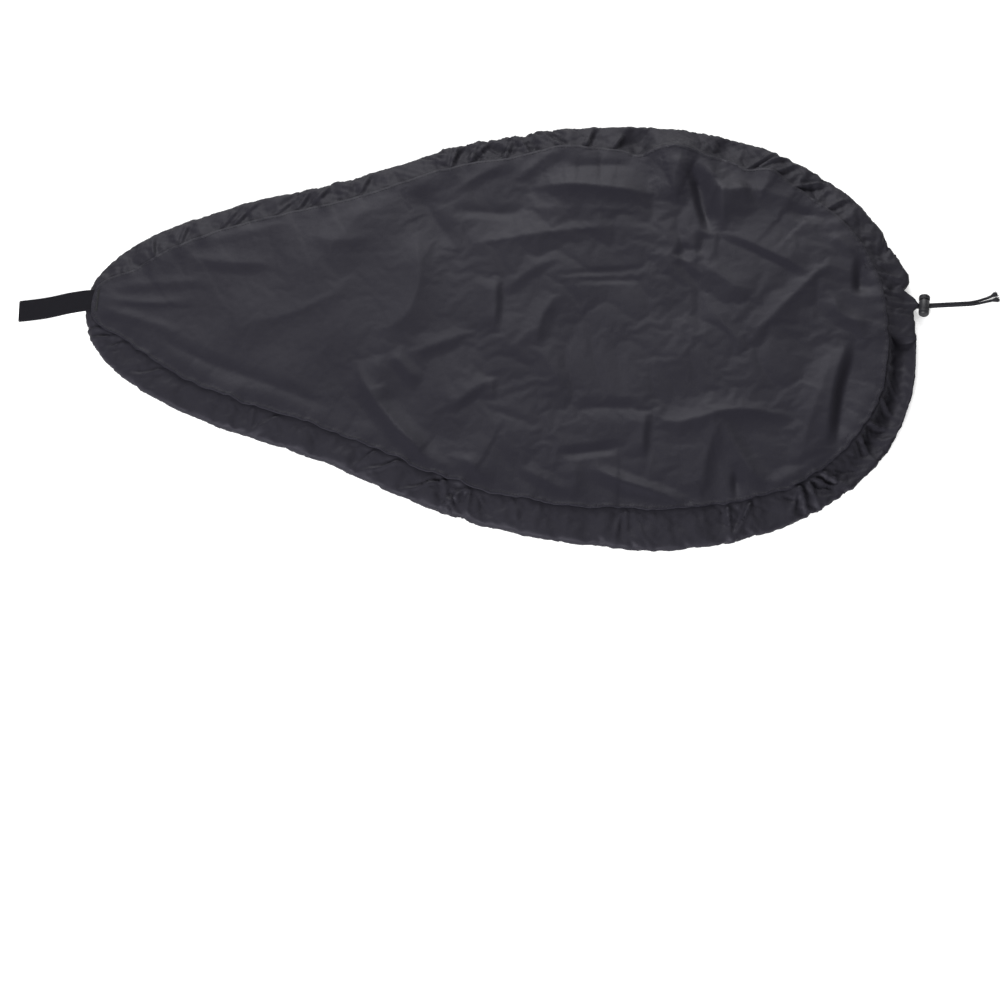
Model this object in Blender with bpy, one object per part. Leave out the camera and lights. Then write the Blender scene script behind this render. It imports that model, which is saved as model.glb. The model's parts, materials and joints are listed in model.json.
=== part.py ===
"""Kayak cockpit cover, modelled as sewn: a teardrop top panel, a turned-under side band that
carries an elastic draw-cord in its hem, a webbing pull strap at the bow and a spring cord lock
on the cord tails at the stern.

Frame: metres, +Z up, the hem rests on z = 0. The origin is the middle of the whole footprint,
with the strap and the cords laid out. -X points to the bow (narrow end, pull strap), +X to the
stern (wide end, cord lock).
"""

import math

import bmesh
import bpy
from mathutils import Vector

MM = 0.001

# Fabric outline, one half from the bow to the stern as three cubic Bezier spans
COVER_LENGTH = 1010 * MM
COVER_WIDTH = 600 * MM
BOW_X = -512.9 * MM
STERN_X = BOW_X + COVER_LENGTH
BOW_HANDLE = 121 * MM
FLANK_POINT = Vector((BOW_X + 292 * MM, 196 * MM))
FLANK_ANGLE = math.radians(19)
FLANK_HANDLES = 76 * MM, 90 * MM
BEAM_X = BOW_X + 697 * MM
BEAM_HANDLES = 224 * MM, 53 * MM
STERN_HANDLE = 264 * MM
SPAN_SAMPLES = 80

# Top panel and seam
FABRIC = 0.8 * MM
LAYER_GAP = 0.35 * MM
SEAM_HEIGHT = 24 * MM
PANEL_CROWN = 10 * MM
SEAM_INSET = 36 * MM
BEAM_SEAM_EXTRA = 9 * MM
BEAM_REACH = 300 * MM
BOW_SEAM_INSET = 9 * MM
BOW_EASE_START = 15 * MM
BOW_EASE_LENGTH = 75 * MM
SEAM_ALLOWANCE = 8 * MM
BINDING_WIDTH = 9 * MM
THREAD = 0.8 * MM
TOP_STITCH_INSET = 2.5 * MM

# Side band below the seam: round the outer fold, in along the floor, round the cord
FOLD_RADIUS = 9 * MM
CHANNEL_INSET = 52 * MM
CHANNEL_RADIUS = 5.4 * MM
CHANNEL_OPENING = math.radians(225)
HEM_STITCH_INSET = CHANNEL_INSET - CHANNEL_RADIUS - THREAD
RING_STATIONS = 72

# Draw-cord and its exit from the hem
CORD = 3 * MM
CORD_SIDES = 8
STRAND_OFFSET = 1.65 * MM
EXIT_Y = 49 * MM
TAIL_TURN = math.radians(6)
EXIT_HALF_WIDTH = 11.5 * MM
EXIT_HEIGHT = 13.5 * MM
EXIT_MARGIN = 6 * MM
CORD_BEND = 9 * MM
TAIL_PIVOT = 4 * MM
TAIL_STRAIGHT = 66 * MM
TAIL_LENGTH = 104 * MM
PORT_SPLAY = -1 * MM
STARBOARD_SPLAY = -12 * MM
TAIL_DROOP = 5 * MM
RUNNING_GAP = 0.35 * MM

# Cord lock, its axis across the cords and turned a little towards the stern
LOCK_REACH = 14.4 * MM
LOCK_TURN = math.radians(-4)
LOCK_HEIGHT = 7 * MM
BARREL_RADIUS = 6.5 * MM
BARREL_BORE = 4.8 * MM
BARREL_BOTTOM = -13.6 * MM
BARREL_RIM = 5.6 * MM
BARREL_FLOOR = 1.8 * MM
CORD_SLOT_HALF = 4.8 * MM
CORD_SLOT_WIDTH = 4 * MM
STEM_RADIUS = 4.6 * MM
STEM_BOTTOM = -7 * MM
STEM_SLOT = (-4.4 * MM, 6.7 * MM)
HEAD_RADIUS = 6.8 * MM
HEAD_BOTTOM = 8.1 * MM
HEAD_TOP = 13.6 * MM
EDGE_ROUND = 1.2 * MM
CHAMFER = 0.5 * MM
SPRING_WIRE = 0.7 * MM
SPRING_RADIUS = 3.2 * MM
SPRING_COILS = 2
TURNED_SIDES = 24

# Pull strap at the bow: webbing folded back on itself
STRAP_WIDTH = 30 * MM
STRAP_LENGTH = 94 * MM
STRAP_Y = 3.3 * MM
STRAP_TURN = math.radians(5)
STRAP_PLY = 1.4 * MM
STRAP_GAP = 0.5 * MM
STRAP_END_HEIGHT = 2 * MM
STRAP_PIVOT_LIFT = 1 * MM
STRAP_CLEARANCE = 1.6 * MM
TACK_LENGTH = 32 * MM
TACK_WIDTH = 3 * MM
TACK_SETBACK = 8 * MM


# ---------------------------------------------------------------- scene and mesh helpers


def clear_scene():
    for obj in list(bpy.data.objects):
        bpy.data.objects.remove(obj, do_unlink=True)


def material(name, colour, roughness, metallic=0.0):
    made = bpy.data.materials.new(name)
    made.use_nodes = True
    shader = made.node_tree.nodes["Principled BSDF"]
    shader.inputs["Base Color"].default_value = (*colour, 1.0)
    shader.inputs["Roughness"].default_value = roughness
    shader.inputs["Metallic"].default_value = metallic
    return made


def add_object(name, bm, surface=None, smooth_angle=30):
    bmesh.ops.recalc_face_normals(bm, faces=bm.faces)
    mesh = bpy.data.meshes.new(name)
    bm.to_mesh(mesh)
    bm.free()
    mesh.shade_smooth()
    mesh.set_sharp_from_angle(angle=math.radians(smooth_angle))
    obj = bpy.data.objects.new(name, mesh)
    bpy.context.scene.collection.objects.link(obj)
    if surface:
        mesh.materials.append(surface)
    return obj


def loft(rings, closed):
    """Bridges equal loops of points into one skin: closed round on itself, or capped at both ends."""
    bm = bmesh.new()
    loops = [[bm.verts.new(point) for point in ring] for ring in rings]
    count = len(loops[0])
    pairs = list(zip(loops, loops[1:]))
    if closed:
        pairs.append((loops[-1], loops[0]))
    for first, second in pairs:
        for j in range(count):
            k = (j + 1) % count
            bm.faces.new((first[j], first[k], second[k], second[j]))
    if not closed:
        bm.faces.new(loops[0])
        bm.faces.new(loops[-1])
    return bm


def turned(name, profile, surface):
    """A solid of revolution about Y from (radius, y) points; the end radii are zero."""
    bm = bmesh.new()
    verts = [bm.verts.new((radius, y, 0)) for radius, y in profile]
    edges = [bm.edges.new(pair) for pair in zip(verts, verts[1:])]
    bmesh.ops.spin(
        bm,
        geom=verts + edges,
        axis=(0, 1, 0),
        cent=(0, 0, 0),
        steps=TURNED_SIDES,
        angle=2 * math.pi,
        use_merge=True,
    )
    bmesh.ops.remove_doubles(bm, verts=bm.verts, dist=0.01 * MM)
    return add_object(name, bm, surface)


def tube(path, radius, sides, rounded_start=False):
    """Rings of a round tube along a path; a rounded start is a half sphere about its first point."""
    rings = []
    for i, point in enumerate(path):
        along = (path[min(i + 1, len(path) - 1)] - path[max(i - 1, 0)]).normalized()
        side = along.cross(Vector((0, 0, 1))).normalized()
        up = side.cross(along)
        turn = [2 * math.pi * k / sides for k in range(sides)]
        spokes = [side * math.cos(a) + up * math.sin(a) for a in turn]
        if i == 0 and rounded_start:
            for angle in (75, 50, 25):
                back = math.radians(angle)
                centre = point - along * radius * math.sin(back)
                rings.append([centre + spoke * radius * math.cos(back) for spoke in spokes])
        rings.append([point + spoke * radius for spoke in spokes])
    return rings


def rounded_slot(name, y_low, y_high, width, reach):
    """A cutter along X whose cross-section is a slot with rounded ends, longer in Y than in Z."""
    radius = width / 2
    ends = ((y_low + radius, 180), (y_high - radius, 0))
    outline = []
    for centre, turn in ends:
        for step in range(9):
            angle = math.radians(turn - 90 + 22.5 * step)
            outline.append((centre + radius * math.cos(angle), radius * math.sin(angle)))
    bm = loft([[(x, y, z) for y, z in outline] for x in (-reach, reach)], closed=False)
    return helper(add_object(name, bm))


def helper(obj):
    obj.hide_render = True
    obj.display_type = "WIRE"
    return obj


def cut(obj, cutter):
    step = obj.modifiers.new("cut", "BOOLEAN")
    step.operation = "DIFFERENCE"
    step.solver = "EXACT"
    step.object = cutter


# ---------------------------------------------------------------- the teardrop outline


def bezier(a, b, c, d):
    for i in range(SPAN_SAMPLES):
        t = i / SPAN_SAMPLES
        u = 1 - t
        yield a * u**3 + b * 3 * t * u * u + c * 3 * t * t * u + d * t**3


def outline_points():
    """The closed outline as a dense polyline, from the bow along +Y to the stern and back along -Y."""
    bow, stern = Vector((BOW_X, 0)), Vector((STERN_X, 0))
    beam = Vector((BEAM_X, COVER_WIDTH / 2))
    flank_way = Vector((math.cos(FLANK_ANGLE), math.sin(FLANK_ANGLE)))
    before_flank, after_flank = (flank_way * handle for handle in FLANK_HANDLES)
    across, ahead = Vector((0, 1)), Vector((1, 0))
    spans = (
        (bow, bow + across * BOW_HANDLE, FLANK_POINT - before_flank, FLANK_POINT),
        (FLANK_POINT, FLANK_POINT + after_flank, beam - ahead * BEAM_HANDLES[0], beam),
        (beam, beam + ahead * BEAM_HANDLES[1], stern + across * STERN_HANDLE, stern),
    )
    half = [point for span in spans for point in bezier(*span)]
    mirrored = [Vector((point.x, -point.y)) for point in reversed(half[1:])]
    return half + [stern] + mirrored


OUTLINE = outline_points()
STEPS = [(b - a).length for a, b in zip(OUTLINE, OUTLINE[1:] + OUTLINE[:1])]
PERIMETER = sum(STEPS)


def station(distance):
    """The outline point at a distance along it from the bow, and the direction into the cover there."""
    left = distance % PERIMETER
    for i, step in enumerate(STEPS):
        if left <= step:
            break
        left -= step
    before, after = OUTLINE[i], OUTLINE[(i + 1) % len(OUTLINE)]
    second = OUTLINE[(i + 2) % len(OUTLINE)]
    share = left / step
    way = (after - OUTLINE[i - 1]).lerp(second - before, share).normalized()
    return before.lerp(after, share), Vector((way.y, -way.x))


def exit_distance():
    """How far along the outline the draw-cord leaves it: on the stern, where it crosses EXIT_Y."""
    travelled = 0
    for point, step in zip(OUTLINE, STEPS):
        if point.x > BEAM_X and point.y <= EXIT_Y:
            return travelled - (EXIT_Y - point.y)
        travelled += step


EXIT = exit_distance()
EXIT_POINT = station(EXIT)[0]
EXIT_OUTWARD = Vector((math.cos(TAIL_TURN), math.sin(TAIL_TURN)))
EXIT_SIDE = Vector((EXIT_OUTWARD.y, -EXIT_OUTWARD.x))


def at_exit(reach, sideways, z):
    """A point near the exit: reach is outwards along the cord tails, sideways is towards -Y."""
    flat = EXIT_POINT + EXIT_OUTWARD * reach + EXIT_SIDE * sideways
    return Vector((flat.x, flat.y, z))


def smooth_step(t):
    t = min(max(t, 0), 1)
    return t * t * (3 - 2 * t)


def seam_inset(distance):
    """How far the seam lies inside the outline: least at the bow, most at the beam."""
    from_bow = min(distance % PERIMETER, -distance % PERIMETER)
    past_bow = smooth_step((from_bow - BOW_EASE_START) / BOW_EASE_LENGTH)
    near_beam = smooth_step(1 - abs(station(distance)[0].x - BEAM_X) / BEAM_REACH)
    return BOW_SEAM_INSET + (SEAM_INSET - BOW_SEAM_INSET) * past_bow + BEAM_SEAM_EXTRA * near_beam


def ring_distances():
    return [PERIMETER * i / RING_STATIONS for i in range(RING_STATIONS)]


def placed(distance, inset, z):
    point, inward = station(distance)
    flat = point + inward * inset
    return Vector((flat.x, flat.y, z))


def swept_ring(profile_at):
    """A skin closed round the cover; profile_at gives the (inset, z) loop at a distance from the bow."""
    rings = []
    for distance in ring_distances():
        rings.append([placed(distance, inset, z) for inset, z in profile_at(distance)])
    return loft(rings, closed=True)


# ---------------------------------------------------------------- fabric


def thickened(line, thickness):
    """A closed loop of (inset, z) points standing half the thickness off each side of a line."""
    points = [Vector(point) for point in line]
    near, far = [], []
    for i, point in enumerate(points):
        along = (points[min(i + 1, len(points) - 1)] - points[max(i - 1, 0)]).normalized()
        off = Vector((-along.y, along.x)) * thickness / 2
        near.append(tuple(point + off))
        far.append(tuple(point - off))
    return near + far[::-1]


def arc(centre, radius, start, end, steps):
    """Points on a circle in (inset, z), with angles in radians from the inward direction."""
    for i in range(steps + 1):
        angle = start + (end - start) * i / steps
        yield centre[0] + radius * math.cos(angle), centre[1] + radius * math.sin(angle)


def band_line(distance):
    """The band's middle line: under the panel, down to the fold, in along the floor, round the cord."""
    seam = seam_inset(distance)
    flange_z = SEAM_HEIGHT - LAYER_GAP - FABRIC / 2
    shoulder = Vector((seam, flange_z))
    fold = Vector((FABRIC / 2 + FOLD_RADIUS, FABRIC / 2 + FOLD_RADIUS))
    away = shoulder - fold
    touch = math.atan2(away.y, away.x) + math.acos(FOLD_RADIUS / away.length)
    channel = (CHANNEL_INSET, FABRIC / 2 + CHANNEL_RADIUS)
    line = [(seam + SEAM_ALLOWANCE, flange_z), tuple(shoulder)]
    line += arc(fold, FOLD_RADIUS, touch, math.radians(270), 5)
    line += arc(channel, CHANNEL_RADIUS, math.radians(-90), CHANNEL_OPENING, 9)
    return line


def side_band(fabric):
    bm = swept_ring(lambda distance: thickened(band_line(distance), FABRIC))
    band = add_object("side_band", bm, fabric)
    cut(band, exit_cutter())
    return band


def exit_cutter():
    """A block from inside the cord channel to outside the fold: the opening that the cords leave by."""
    bottom = -EXIT_MARGIN
    corners = [(-EXIT_HALF_WIDTH, bottom), (EXIT_HALF_WIDTH, bottom)]
    corners += [(EXIT_HALF_WIDTH, EXIT_HEIGHT), (-EXIT_HALF_WIDTH, EXIT_HEIGHT)]
    rings = []
    for reach in (-CHANNEL_INSET - CHANNEL_RADIUS - EXIT_MARGIN, EXIT_MARGIN):
        rings.append([at_exit(reach, sideways, z) for sideways, z in corners])
    return helper(add_object("exit_cutter", loft(rings, closed=False)))


def top_panel(fabric):
    """The teardrop sheet: its edge on the seam, crowned in the middle."""
    edge = [placed(d, seam_inset(d) - LAYER_GAP, SEAM_HEIGHT) for d in ring_distances()]
    bm = bmesh.new()
    lower = crowned_face(bm, edge, 0)
    upper = crowned_face(bm, edge, FABRIC)
    for j in range(len(edge)):
        k = (j + 1) % len(edge)
        bm.faces.new((lower[j], lower[k], upper[k], upper[j]))
    return add_object("top_panel", bm, fabric)


def crowned_face(bm, edge, lift):
    """One face of the panel, a fan of rows rising to its middle; returns its edge vertices."""
    middle = sum(edge, Vector()) / len(edge)
    rows = []
    for share in (0.3, 0.55, 0.8, 1.0):
        z = PANEL_CROWN * (1 - share * share) + lift
        rows.append([bm.verts.new(middle.lerp(point, share) + Vector((0, 0, z))) for point in edge])
    centre = bm.verts.new(middle + Vector((0, 0, PANEL_CROWN + lift)))
    for j in range(len(edge)):
        k = (j + 1) % len(edge)
        bm.faces.new((centre, rows[0][j], rows[0][k]))
        for inner, outer in zip(rows, rows[1:]):
            bm.faces.new((inner[j], outer[j], outer[k], inner[k]))
    return rows[-1]


def seam_binding(fabric):
    """The tape that covers the raw seam edges on the inside."""

    def profile(distance):
        top = SEAM_HEIGHT - 2 * (LAYER_GAP + FABRIC)
        start = seam_inset(distance) + LAYER_GAP
        end = start + BINDING_WIDTH
        return [(start, top), (end, top), (end, top - FABRIC), (start, top - FABRIC)]

    return add_object("seam_binding", swept_ring(profile), fabric)


def thread_profile(inset, z):
    turn = [math.pi / 2 * k for k in range(4)]
    return [(inset + THREAD / 2 * math.cos(a), z + THREAD / 2 * math.sin(a)) for a in turn]


def top_seam_thread(thread):
    """The stitch line just inside the panel's edge, as one continuous thread."""
    z = SEAM_HEIGHT + FABRIC + LAYER_GAP + THREAD / 2

    def profile(distance):
        return thread_profile(seam_inset(distance) + TOP_STITCH_INSET, z)

    return add_object("top_seam_thread", swept_ring(profile), thread)


def hem_distances():
    """Stations from one side of the cord exit right round to the other side of it."""
    clear = EXIT_HALF_WIDTH + EXIT_MARGIN
    run = PERIMETER - 2 * clear
    return [EXIT + clear + run * i / RING_STATIONS for i in range(RING_STATIONS + 1)]


def hem_thread(thread):
    """The stitch line that closes the cord channel; it stops at the exit."""
    profile = thread_profile(HEM_STITCH_INSET, FABRIC + LAYER_GAP + THREAD / 2)
    rings = [[placed(distance, inset, z) for inset, z in profile] for distance in hem_distances()]
    return add_object("hem_thread", loft(rings, closed=False), thread)


# ---------------------------------------------------------------- draw-cord


def cord_end(side):
    """Centre points from the bend in the hem out to just short of the tail pivot.

    side is 1 for the port cord, towards -Y, and -1 for the starboard one.
    """
    hem_z = FABRIC / 2 + CHANNEL_RADIUS
    offset = side * STRAND_OFFSET
    bend_steps = 4
    points = []
    for step in range(bend_steps + 1):
        angle = math.pi / 2 * step / bend_steps
        sideways = offset + side * CORD_BEND * (1 - math.sin(angle))
        inset = CHANNEL_INSET - CORD_BEND * (1 - math.cos(angle))
        points.append(at_exit(-inset, sideways, hem_z))
    points.append(at_exit(-CORD_BEND, offset, (hem_z + LOCK_HEIGHT) / 2))
    points.append(at_exit(0, offset, LOCK_HEIGHT))
    points.append(at_exit(TAIL_PIVOT - CORD / 2 - RUNNING_GAP, offset, LOCK_HEIGHT))
    return points


def draw_cord(elastic):
    """The elastic in the hem, with both ends turned out through the exit."""
    hem_z = FABRIC / 2 + CHANNEL_RADIUS
    path = [placed(distance, CHANNEL_INSET, hem_z) for distance in hem_distances()]
    path = cord_end(1)[::-1] + path + cord_end(-1)
    return add_object("draw_cord", loft(tube(path, CORD / 2, CORD_SIDES), closed=False), elastic)


def cord_tail(name, offset, splay, elastic):
    """One strand outside the cover: straight along the lock's travel, then splayed and drooping."""
    path = [at_exit(TAIL_PIVOT, offset, LOCK_HEIGHT)]
    bend_steps = 5
    for step in range(bend_steps + 1):
        t = step / bend_steps
        reach = TAIL_STRAIGHT + (TAIL_LENGTH - TAIL_STRAIGHT) * t
        path.append(at_exit(reach, offset + splay * t * t, LOCK_HEIGHT - TAIL_DROOP * t * t))
    rings = tube(path, CORD / 2, CORD_SIDES, rounded_start=True)
    return add_object(name, loft(rings, closed=False), elastic)


# ---------------------------------------------------------------- cord lock


def lock_barrel(plastic):
    """The outer body: a domed cup open at its +Y end, with a slot for both cords."""
    inside = BARREL_BOTTOM + BARREL_FLOOR
    profile = [(0, BARREL_BOTTOM)]
    for step in range(1, 5):
        angle = math.radians(22.5 * step)
        radius = BARREL_RADIUS - EDGE_ROUND * 2 * (1 - math.sin(angle))
        profile.append((radius, BARREL_BOTTOM + EDGE_ROUND * 2 * (1 - math.cos(angle))))
    profile += [(BARREL_RADIUS, BARREL_RIM - CHAMFER), (BARREL_RADIUS - CHAMFER, BARREL_RIM)]
    profile += [(BARREL_BORE, BARREL_RIM), (BARREL_BORE, inside), (0, inside)]
    barrel = turned("lock_barrel", profile, plastic)
    cutter = rounded_slot("barrel_slot", -CORD_SLOT_HALF, CORD_SLOT_HALF, CORD_SLOT_WIDTH, 9 * MM)
    return with_slot(barrel, cutter)


def lock_plunger(plastic):
    """The push button and its stem, which slides in the barrel; its slot clears the cords when pressed."""
    lip = HEAD_RADIUS - EDGE_ROUND
    profile = [(0, STEM_BOTTOM), (STEM_RADIUS - CHAMFER, STEM_BOTTOM), (STEM_RADIUS, STEM_BOTTOM + CHAMFER)]
    profile += [(STEM_RADIUS, HEAD_BOTTOM), (HEAD_RADIUS - CHAMFER, HEAD_BOTTOM)]
    profile += [(HEAD_RADIUS, HEAD_BOTTOM + CHAMFER), (HEAD_RADIUS, HEAD_TOP - EDGE_ROUND)]
    profile += [(lip + EDGE_ROUND * 0.7, HEAD_TOP - EDGE_ROUND * 0.3), (lip, HEAD_TOP), (0, HEAD_TOP)]
    plunger = turned("lock_plunger", profile, plastic)
    cutter = rounded_slot("plunger_slot", *STEM_SLOT, CORD_SLOT_WIDTH, 9 * MM)
    return with_slot(plunger, cutter)


def with_slot(obj, cutter):
    placed_at_lock(cutter)
    cut(obj, cutter)
    return placed_at_lock(obj)


def placed_at_lock(obj):
    obj.location = at_exit(LOCK_REACH, 0, LOCK_HEIGHT)
    obj.rotation_euler = (0, 0, LOCK_TURN)
    return obj


def lock_spring(steel):
    """The compression spring between the barrel's floor and the stem."""
    low = BARREL_BOTTOM + BARREL_FLOOR + SPRING_WIRE / 2 + 0.2 * MM
    high = STEM_BOTTOM - SPRING_WIRE / 2 - 0.2 * MM
    per_coil = 12
    count = SPRING_COILS * per_coil
    rings = []
    for i in range(count + 1):
        angle = 2 * math.pi * i / per_coil
        outward = Vector((math.cos(angle), 0, math.sin(angle)))
        centre = outward * SPRING_RADIUS + Vector((0, low + (high - low) * i / count, 0))
        turn = [2 * math.pi * k / 6 for k in range(6)]
        up = Vector((0, 1, 0))
        rings.append([centre + (outward * math.cos(a) + up * math.sin(a)) * SPRING_WIRE / 2 for a in turn])
    return placed_at_lock(add_object("lock_spring", loft(rings, closed=False), steel))


# ---------------------------------------------------------------- pull strap


def strap_pivot():
    """Where the strap hinges on the bow seam, just clear of the panel's edge and above it."""
    x = BOW_X + BOW_SEAM_INSET - LAYER_GAP - STRAP_CLEARANCE
    return Vector((x, STRAP_Y, SEAM_HEIGHT + FABRIC + STRAP_PIVOT_LIFT))


def pull_strap(webbing):
    """Two plies of webbing joined by the fold at the free end, sloping down from the bow seam."""
    half = STRAP_GAP / 2 + STRAP_PLY
    fold_centre = STRAP_LENGTH - half
    outer = [(STRAP_CLEARANCE, -half)]
    inner = [(STRAP_CLEARANCE, -STRAP_GAP / 2)]
    fold_steps = 6
    for step in range(fold_steps + 1):
        angle = math.radians(-90 + 180 * step / fold_steps)
        outer.append((fold_centre + half * math.cos(angle), half * math.sin(angle)))
        inner.append((fold_centre + STRAP_GAP / 2 * math.cos(angle), STRAP_GAP / 2 * math.sin(angle)))
    outer.append((STRAP_CLEARANCE, half))
    inner.append((STRAP_CLEARANCE, STRAP_GAP / 2))
    loop = outer + inner[::-1]
    rings = [[(-reach, y, z) for reach, z in loop] for y in (-STRAP_WIDTH / 2, STRAP_WIDTH / 2)]
    strap = add_object("pull_strap", loft(rings, closed=False), webbing)
    pivot = strap_pivot()
    drop = pivot.z - STRAP_END_HEIGHT
    strap.location = pivot
    strap.rotation_euler = (0, -math.asin(drop / STRAP_LENGTH), STRAP_TURN)
    return strap


def strap_tack(thread):
    """The bar tack over the bow seam that holds the strap."""
    centre = strap_pivot() + Vector((TACK_SETBACK, 0, 0))
    low = SEAM_HEIGHT + FABRIC + LAYER_GAP + THREAD + LAYER_GAP
    rings = []
    for y, share in ((-0.5, 0.4), (-0.46, 1), (0.46, 1), (0.5, 0.4)):
        wide, high = TACK_WIDTH / 2 * share, THREAD * share
        corners = ((-wide, 0), (wide, 0), (wide * 0.6, high), (-wide * 0.6, high))
        along = centre.y + y * TACK_LENGTH
        rings.append([(centre.x + dx, along, low + dz) for dx, dz in corners])
    return add_object("strap_tack", loft(rings, closed=False), thread)


def build():
    clear_scene()
    fabric = material("coated_nylon", (0.034, 0.033, 0.040), 0.5)
    tape = material("binding_tape", (0.02, 0.02, 0.022), 0.8)
    thread = material("polyester_thread", (0.02, 0.02, 0.022), 0.7)
    elastic = material("elastic_cord", (0.03, 0.03, 0.032), 0.8)
    webbing = material("webbing", (0.015, 0.015, 0.018), 0.75)
    plastic = material("lock_plastic", (0.025, 0.025, 0.027), 0.45)
    steel = material("spring_steel", (0.55, 0.55, 0.56), 0.3, metallic=1.0)
    top_panel(fabric)
    side_band(fabric)
    seam_binding(tape)
    top_seam_thread(thread)
    hem_thread(thread)
    draw_cord(elastic)
    cord_tail("cord_tail_port", STRAND_OFFSET, PORT_SPLAY, elastic)
    cord_tail("cord_tail_starboard", -STRAND_OFFSET, STARBOARD_SPLAY, elastic)
    lock_barrel(plastic)
    lock_plunger(plastic)
    lock_spring(steel)
    pull_strap(webbing)
    strap_tack(thread)


build()
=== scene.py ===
"""The looks of the kayak cockpit cover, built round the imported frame.

The sewn fabric is one wrinkled panel and one gathered band that share a seam. The seam line, the
outline and the joints come from the frame, so every piece sits where the CAD node it replaces does.
"""

import json
import math

import bmesh
import bpy
import numpy as np
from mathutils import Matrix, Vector
from mathutils.bvhtree import BVHTree
from mathutils.geometry import delaunay_2d_cdt
from mathutils.kdtree import KDTree


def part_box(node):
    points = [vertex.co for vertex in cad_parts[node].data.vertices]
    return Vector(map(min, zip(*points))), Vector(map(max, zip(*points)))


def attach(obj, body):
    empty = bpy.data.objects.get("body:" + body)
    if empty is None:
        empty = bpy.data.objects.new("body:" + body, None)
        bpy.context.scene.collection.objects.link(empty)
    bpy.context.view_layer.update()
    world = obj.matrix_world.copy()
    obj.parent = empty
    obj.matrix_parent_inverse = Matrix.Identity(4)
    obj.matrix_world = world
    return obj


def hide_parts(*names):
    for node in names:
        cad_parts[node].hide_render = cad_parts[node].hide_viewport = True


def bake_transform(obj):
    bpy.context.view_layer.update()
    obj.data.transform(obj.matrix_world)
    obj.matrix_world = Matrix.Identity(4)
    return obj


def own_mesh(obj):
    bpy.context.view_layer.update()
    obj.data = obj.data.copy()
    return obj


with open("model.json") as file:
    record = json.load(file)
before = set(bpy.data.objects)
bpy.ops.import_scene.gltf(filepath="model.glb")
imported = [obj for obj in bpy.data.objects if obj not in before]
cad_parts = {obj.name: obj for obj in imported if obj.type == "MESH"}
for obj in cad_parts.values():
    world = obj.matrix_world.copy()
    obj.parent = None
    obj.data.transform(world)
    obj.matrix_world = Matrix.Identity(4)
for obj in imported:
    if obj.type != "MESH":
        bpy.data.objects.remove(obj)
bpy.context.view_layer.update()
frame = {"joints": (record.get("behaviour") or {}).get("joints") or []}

MM = 0.001
TURN = 2 * math.pi
UP = Vector((0, 0, 1))

# --- places taken from the frame

BAND_LOW, BAND_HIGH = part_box("side_band")
PANEL_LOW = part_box("top_panel")[0]
BOW_X, STERN_X = BAND_LOW.x, BAND_HIGH.x
HALF_WIDTH = BAND_HIGH.y
LENGTH = STERN_X - BOW_X
BEAM_X = BOW_X + 0.69 * LENGTH
SEAM_Z = PANEL_LOW.z - 0.5 * MM
JOINTS = {joint["name"]: joint for joint in frame["joints"]}
STRAP_PIVOT = Vector(JOINTS["strap_lift"]["pos_m"])
STRAP_HINGE = Vector(JOINTS["strap_lift"]["axis"])
CORD_PIVOT = Vector(JOINTS["cord_lift"]["pos_m"])
CORD_WAY = Vector(JOINTS["lock_slide"]["axis"])
LOCK_AXIS = -Vector(JOINTS["plunger_press"]["axis"])

# Cloth: its thickness, where the seam lies, the meshes' steps, the folds at the rim and the hem
CLOTH = 0.5 * MM
BOW_SEAM_INSET = 9 * MM
SEAM_INSET = 36 * MM
BEAM_SEAM_EXTRA = 9 * MM
PANEL_GRID = 3 * MM
RING_STEP = 2.6 * MM
BAND_ROWS = 56
CROWN = 2.4 * MM
SETTLE_FRAMES = 12
FOLD_RADIUS = 9.2 * MM
FOLD_MIDDLE = 9 * MM
HEM_INSET = 52 * MM
HEM_RADIUS = 5.2 * MM
CORD_RADIUS = 1.6 * MM
STRAND_OFFSET = 1.65 * MM
EDGE_OVERLAP = 0.35 * MM
FLOOR_GAP = 0.35 * MM
LOWEST_CLOTH = CLOTH + 0.15 * MM
BAND_WIDTH = 138 * MM
CHANNEL_Z = 5.8 * MM
GATHERED = 20 * MM

# The folds are drawn for soft light from the far side and the bow
LIT_FROM = np.array((-0.5, 0.87))


# --- mesh helpers


def set_values(target, **values):
    for key, value in values.items():
        setattr(target, key, value)


def edit_mesh(obj, change):
    """Runs one change on an object's mesh."""
    bm = bmesh.new()
    bm.from_mesh(obj.data)
    change(bm)
    bm.to_mesh(obj.data)
    bm.free()


def fix_normals(obj):
    """Turns a closed mesh's faces outwards, and a sheet's to one side."""
    edit_mesh(obj, lambda bm: bmesh.ops.recalc_face_normals(bm, faces=bm.faces))


def mesh_object(name, verts, faces, material=None, smooth=True, closed=False):
    mesh = bpy.data.meshes.new(name)
    mesh.from_pydata([tuple(v) for v in verts], [], [tuple(int(i) for i in f) for f in faces])
    if smooth:
        mesh.shade_smooth()
    obj = bpy.data.objects.new(name, mesh)
    bpy.context.scene.collection.objects.link(obj)
    if material:
        mesh.materials.append(material)
    if closed:
        fix_normals(obj)
    return obj


def grid_faces(rows, columns, wrap_rows=False, wrap_columns=False):
    """Quads over a grid of points numbered row by row."""
    faces = []
    for i in range(rows if wrap_rows else rows - 1):
        for j in range(columns if wrap_columns else columns - 1):
            k, m = (i + 1) % rows, (j + 1) % columns
            faces.append((i * columns + j, i * columns + m, k * columns + m, k * columns + j))
    return faces


def apply_modifiers(obj):
    bpy.context.view_layer.objects.active = obj
    for other in bpy.context.selected_objects:
        other.select_set(False)
    obj.select_set(True)
    for modifier in list(obj.modifiers):
        bpy.ops.object.modifier_apply(modifier=modifier.name)


def thicken(obj, thickness):
    """Gives a sheet its thickness, below its outer face, and applies it."""
    solid = obj.modifiers.new("thickness", "SOLIDIFY")
    set_values(solid, thickness=thickness, offset=-1, use_even_offset=False)
    apply_modifiers(obj)


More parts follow.
